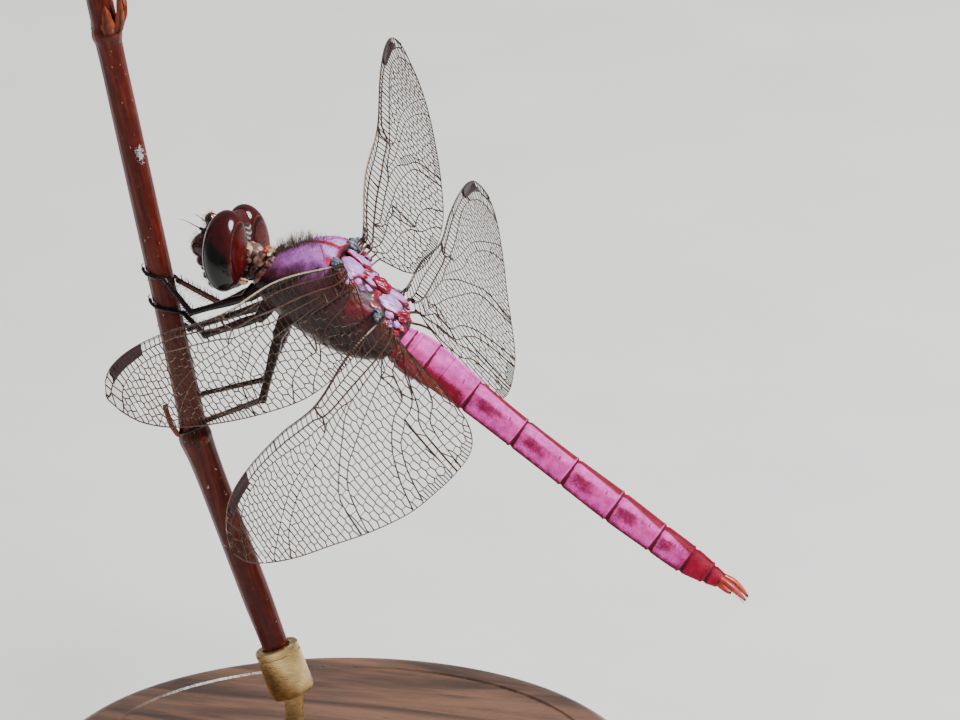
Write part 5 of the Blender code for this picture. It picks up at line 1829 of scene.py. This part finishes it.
BASE_RADIUS = 27.0
BASE_HEIGHT = 6.0
ROD_RADIUS = 0.8
CUP_RADIUS = 1.9
CUP_DEPTH = 3.6
CUP_FLOOR = 0.9
SEAM = 0.1


def spun(bm, outline, steps):
    """Turn an outline of (radius, height) about the upright axis into a closed body."""
    verts = [bm.verts.new((radius, 0.0, height)) for radius, height in outline]
    edges = [bm.edges.new(pair) for pair in zip(verts, verts[1:])]
    bmesh.ops.spin(bm, geom=verts + edges, cent=(0.0, 0.0, 0.0), axis=(0.0, 0.0, 1.0), dvec=(0.0, 0.0, 0.0),
                   angle=2.0 * math.pi, steps=steps, use_merge=True, use_duplicate=False)
    bmesh.ops.remove_doubles(bm, verts=bm.verts, dist=SAME_POINT)


def shades(tone, *factors):
    return [tuple(factor * c for c in tone) for factor in factors]


def walnut_material(tone):
    material, tree, shader = new_material("walnut", Coat_Weight=0.35, Coat_Roughness=0.28)
    raw = object_coordinates(tree)
    warp = add_node(tree, "ShaderNodeMapping", Vector=raw, Location=(0.013, 0.0, 0.0),
                    Scale=(90.0, 620.0, 620.0)).outputs[0]
    bands = add_node(tree, "ShaderNodeTexNoise", Vector=warp, Scale=0.5, Detail=6.0, Roughness=0.6,
                     Distortion=0.6).outputs["Fac"]
    pores = noise(tree, raw, 1.0, 4.0, 0.7, stretch=(0.35, 5.0, 5.0))
    dark, light, pore = shades(tone, 0.45, 1.9, 0.22)
    colour = mix_colour(tree, map_range(tree, bands, 0.35, 0.65), dark, light)
    feed(tree, shader, Base_Color=mix_colour(tree, map_range(tree, pores, 0.58, 0.72), colour, pore),
         Roughness=map_range(tree, pores, 0.3, 0.7, 0.32, 0.5))
    relief(tree, shader, work_out(tree, "SUBTRACT", 1.0, map_range(tree, pores, 0.55, 0.75)), 0.05)
    return material


def brass_material(tone):
    material, tree, shader = new_material("satin_brass", Metallic=1.0)
    raw = object_coordinates(tree)
    lines = noise(tree, raw, 1.0, 3.0, 0.6, stretch=(1.5, 1.5, 12.0))
    patina = map_range(tree, noise(tree, raw, 0.5, 5.0), 0.4, 0.75)
    feed(tree, shader, Base_Color=mix_colour(tree, patina, tone, *shades(tone, 0.55)),
         Roughness=map_range(tree, lines, 0.3, 0.7, 0.24, 0.40))
    relief(tree, shader, lines, 0.008)
    return material


def base_outline():
    """The turned base in outline: a bead at the foot, a hollow up to the top, and a fine ring on it."""
    edge, top = BASE_RADIUS, BASE_HEIGHT
    outline = [(0.0, 0.0), (edge - 1.2, 0.0), (edge - 0.7, 0.12), (edge - 0.55, 0.6)]
    outline += [(edge - 0.55 + 0.55 * math.sin(a), 1.15 - 0.55 * math.cos(a))
                for a in (0.5, 1.0, 1.5708, 2.1, 2.6)]
    outline += [(edge - 0.75, 1.95), (edge - 0.85, 2.25)]
    outline += [(edge - 0.85 - 1.9 * (1.0 - math.cos(a)), 2.25 + 3.35 * math.sin(a))
                for a in (0.2, 0.45, 0.7, 0.95, 1.2)]
    return outline + [(edge - 2.6, top - 0.24), (edge - 3.1, top - 0.05), (edge - 3.8, top),
                      (edge - 5.2, top), (edge - 5.35, top - 0.16), (edge - 5.6, top - 0.16),
                      (edge - 5.75, top), (4.0, top), (0.0, top)]


class DRAGONFLY_OT_stand(bpy.types.Operator):
    """Make the turned walnut base and the brass rod with the cup that holds the twig"""
    bl_idname = "dragonfly.stand"
    bl_label = "Stand"

    def execute(self, context):
        settings = context.scene.dragonfly_stand
        bm = new_shape()
        spun(bm, base_outline(), 180)
        finish_piece(bm, "stand_base_turned", walnut_material(tuple(settings.wood_colour)), WORLD,
                     ("stand_base",), crease=40.0)

        foot = BODY_ORIGIN + twig_axis(-TWIG_LOWER_LENGTH)
        along = Vector((-math.sin(TWIG_LOWER_LEAN), 0.0, math.cos(TWIG_LOWER_LEAN)))
        height = CUP_DEPTH + CUP_FLOOR
        rim, bore = CUP_RADIUS, TWIG_RADIUS + SEAM
        low, high = -CUP_FLOOR - SEAM, CUP_DEPTH - SEAM
        bm = new_shape()
        spun(bm, [(0.0, low), (rim - 0.5, low), (rim - 0.15, low + 0.12), (rim, low + 0.45),
                  (rim, high - 0.75), (rim - 0.10, high - 0.70), (rim - 0.10, high - 0.55),
                  (rim, high - 0.50), (rim, high - 0.12), (rim - 0.12, high),
                  (bore + 0.10, high), (bore, high - 0.10), (bore, -SEAM), (0.0, -SEAM)], 72)
        bmesh.ops.transform(bm, matrix=Matrix.Translation(foot) @ Matrix.Rotation(-TWIG_LOWER_LEAN, 4, "Y"),
                            verts=bm.verts)
        centre = foot + along * (height / 2 - CUP_FLOOR - SEAM)
        rod_top = centre.z - 0.5 * height * math.cos(TWIG_LOWER_LEAN) + 0.4
        rod_x = centre.x + 0.5 * height * math.sin(TWIG_LOWER_LEAN)
        rod = new_shape()
        floor = BASE_HEIGHT
        spun(rod, [(0.0, floor + 0.02), (1.9, floor + 0.02), (2.0, floor + 0.12), (1.95, floor + 0.30),
                   (1.1, floor + 0.50), (ROD_RADIUS, floor + 0.75), (ROD_RADIUS, rod_top),
                   (0.0, rod_top)], 56)
        bmesh.ops.transform(rod, matrix=Matrix.Translation((rod_x, 0.0, 0.0)), verts=rod.verts)
        add_copy(bm, rod)
        rod.free()
        finish_piece(bm, "stand_rod_turned", brass_material(tuple(settings.brass_colour)), WORLD,
                     ("stand_rod",), crease=35.0)
        return {"FINISHED"}


# ---------------------------------------------------------------- hairs

FRONT_HAIRS = 1350
SIDE_HAIRS = 300
HEAD_HAIRS = 420
BUNCH = 40                          # hairs made together: the whole coat would slow each one down
HAIR_STEP = 0.004                   # small step on the skin, by which its slope is found
# Where the head's hairs grow: centre and radii of frons, crown and mouth
HEAD_TUFTS = (((-2.05, 0.0, 0.1), (1.70, 1.75, 1.20)), ((-1.80, 0.0, 1.85), (0.60, 0.75, 0.62)),
              ((-1.15, 0.0, -2.6), (1.60, 1.50, 1.10)))


def coat_shape():
    bm = new_shape(MARKS)
    bm.loops.layers.uv.new("OFBake")
    return bm


def hair(bm, root, way, bend, reach, thick, patch, marks):
    """One tapered hair that curves over; its patch lies at its root's place on the skin's unwrap."""
    path = [root + way * reach * t + bend * reach * t * t for t in (0.0, 0.35, 0.7, 1.0)]
    tube(bm, path, (thick, thick * 0.85, thick * 0.55, thick * 0.15), 4, marks, patch=patch)


def gather(bm, held):
    """Add a small bunch of hairs to the coat and start the next bunch."""
    add_copy(bm, held)
    held.free()
    return coat_shape()


def skin_normal(skin, turn, along, root):
    """The line across the skin at a root; it may point out or in."""
    ahead = skin(turn, along + HAIR_STEP)[0] - root
    aside = skin((turn + HAIR_STEP) % 1.0, along)[0] - root
    return aside.cross(ahead).normalized()


def front_hair(held, skin, number, longest, chance):
    """One hair of the front: every third is of the fringe along the ridge, and the others are down."""
    fringe = number % 3 == 0
    turn = (chance.gauss(0.0, 0.035) if fringe else chance.uniform(-0.16, 0.16)) % 1.0
    along = thorax_along(chance.triangular(-4.95, -1.2, -4.5))
    root = skin(turn, along)[0]
    out = skin_normal(skin, turn, along, root)
    if out.z < 0.0 and abs(root.y) < 2.0:
        out = -out
    if out.dot(root - Vector((root.x + 0.6, 0.0, -4.0))) < 0.0:
        out = -out
    front = 1.0 - ramp(-4.2, -1.4, root.x)
    reach = longest * ((0.25 + 0.75 * front) * chance.uniform(0.45, 1.1) if fringe else 0.12)
    clump = Vector((0.30 * math.sin(14.0 * root.x), 0.25 * math.sin(9.0 * root.x + 11.0 * root.y), 0.0))
    way = (out + Vector((-0.25, 0.0, 0.35)) + clump + scatter(chance, 0.10)).normalized()
    marks = (0.0, 0.0, 0.25 * (chance.random() < 0.22), 0.3) if fringe else (0.9, 0.0, 0.2, 0.0)
    hair(held, root - out * 0.03, way, Vector((0.12, 0.0, 0.10)), reach, 0.014 if fringe else 0.009,
         (turn, along), marks)


def side_hair(held, skin, longest, chance):
    """One of the thin long hairs of the sides, which lean back and down."""
    turn = (chance.choice((-1.0, 1.0)) * chance.uniform(0.16, 0.44)) % 1.0
    along = thorax_along(chance.uniform(-4.6, 7.3))
    root = skin(turn, along)[0]
    out = skin_normal(skin, turn, along, root)
    if out.dot(Vector((0.0, root.y, root.z + 4.0))) < 0.0:
        out = -out
    way = (out * 0.8 + Vector((0.45, 0.0, -0.35)) + scatter(chance, 0.2)).normalized()
    reach = longest * chance.uniform(0.25, 0.65)
    hair(held, root - out * 0.03, way, Vector((0.1, 0.0, -0.15)), reach, 0.013, (turn, along),
         (0.0, 0.0, 0.85 * (chance.random() < 0.35), 0.5))


def head_hair(held, number, chance):
    """One hair of the face or the crown."""
    centre, radii = HEAD_TUFTS[number % 3]
    unit = scatter(chance, 1.0).normalized()
    unit.x = -abs(unit.x)
    root = Vector(centre) + Vector([u * r for u, r in zip(unit, radii)]) * 0.97
    way = (unit + Vector((-0.1, 0.0, 0.25)) + scatter(chance, 0.2)).normalized()
    reach = chance.uniform(0.20, 0.42) * (1.0 + 0.5 * (number % 3 == 1))
    hair(held, root, way, Vector((0.0, 0.0, 0.1)), reach, 0.010, (0.5 + 0.3 * unit.y, 0.5 + 0.3 * unit.z),
         (0.0, 0.0, 0.8 * (chance.random() < 0.4), 0.4))


class DRAGONFLY_OT_hairs(bpy.types.Operator):
    """Make the fringe of hairs on the thorax and the fine hairs of the head and sides"""
    bl_idname = "dragonfly.hairs"
    bl_label = "Hairs"

    def execute(self, context):
        settings = context.scene.dragonfly_coat
        longest = settings.hair_length / MM
        strands = marked_material(
            "hair_strands", (0.085, 0.052, 0.018), (0.30, 0.12, 0.32), (0.12, 0.03, 0.02),
            (0.42, 0.32, 0.15), (0.015, 0.009, 0.007), wear=0.6, gloss=(0.4, 0.5), bump=0.004,
            Sheen_Weight=0.2)
        chance = random.Random(settings.seed)
        skin = thorax_skin()
        bm, held = coat_shape(), coat_shape()
        for number in range(FRONT_HAIRS):
            held = gather(bm, held) if number % BUNCH == BUNCH - 1 else held
            front_hair(held, skin, number, longest, chance)
        for number in range(SIDE_HAIRS):
            held = gather(bm, held) if number % BUNCH == BUNCH - 1 else held
            side_hair(held, skin, longest, chance)
        gather(bm, held).free()
        finish_piece(bm, "thorax_hairs", strands, INSECT)

        bm, held = coat_shape(), coat_shape()
        for number in range(HEAD_HAIRS):
            held = gather(bm, held) if number % BUNCH == BUNCH - 1 else held
            head_hair(held, number, chance)
        gather(bm, held).free()
        finish_piece(bm, "head_hairs", strands, HEAD)
        return {"FINISHED"}


# ---------------------------------------------------------------- panel and registration

class DRAGONFLY_PT_panel(bpy.types.Panel):
    """Settings and steps of the dragonfly specimen"""
    bl_idname = "DRAGONFLY_PT_panel"
    bl_label = "Dragonfly"
    bl_space_type = "VIEW_3D"
    bl_region_type = "UI"
    bl_category = "Dragonfly"

    def draw(self, context):
        for holder, operators in STEPS:
            box = self.layout.box()
            settings = getattr(context.scene, "dragonfly_" + holder)
            for key in type(settings).__annotations__:
                box.prop(settings, key)
            for operator in operators:
                box.operator(operator.bl_idname)


SETTINGS = {"stage": StageSettings, "stand": StandSettings, "twig": TwigSettings, "body": BodySettings,
            "head": HeadSettings, "wings": WingSettings, "coat": CoatSettings}
STEPS = (
    ("stage", (DRAGONFLY_OT_stage,)),
    ("stand", (DRAGONFLY_OT_stand,)),
    ("twig", (DRAGONFLY_OT_twig, DRAGONFLY_OT_legs)),
    ("body", (DRAGONFLY_OT_thorax, DRAGONFLY_OT_abdomen)),
    ("head", (DRAGONFLY_OT_head,)),
    ("wings", (DRAGONFLY_OT_wings,)),
    ("coat", (DRAGONFLY_OT_hairs,)),
)


def register():
    for settings in SETTINGS.values():
        bpy.utils.register_class(settings)
    for _, operators in STEPS:
        for operator in operators:
            bpy.utils.register_class(operator)
    bpy.utils.register_class(DRAGONFLY_PT_panel)
    for name, settings in SETTINGS.items():
        setattr(bpy.types.Scene, "dragonfly_" + name, PointerProperty(type=settings))


def unregister():
    for name in SETTINGS:
        delattr(bpy.types.Scene, "dragonfly_" + name)
    bpy.utils.unregister_class(DRAGONFLY_PT_panel)
    for _, operators in reversed(STEPS):
        for operator in reversed(operators):
            bpy.utils.unregister_class(operator)
    for settings in reversed(list(SETTINGS.values())):
        bpy.utils.unregister_class(settings)


def main():
    register()
    for _, operators in STEPS:
        for operator in operators:
            getattr(bpy.ops.dragonfly, operator.bl_idname.split(".")[1])()


if __name__ == "__main__":
    main()
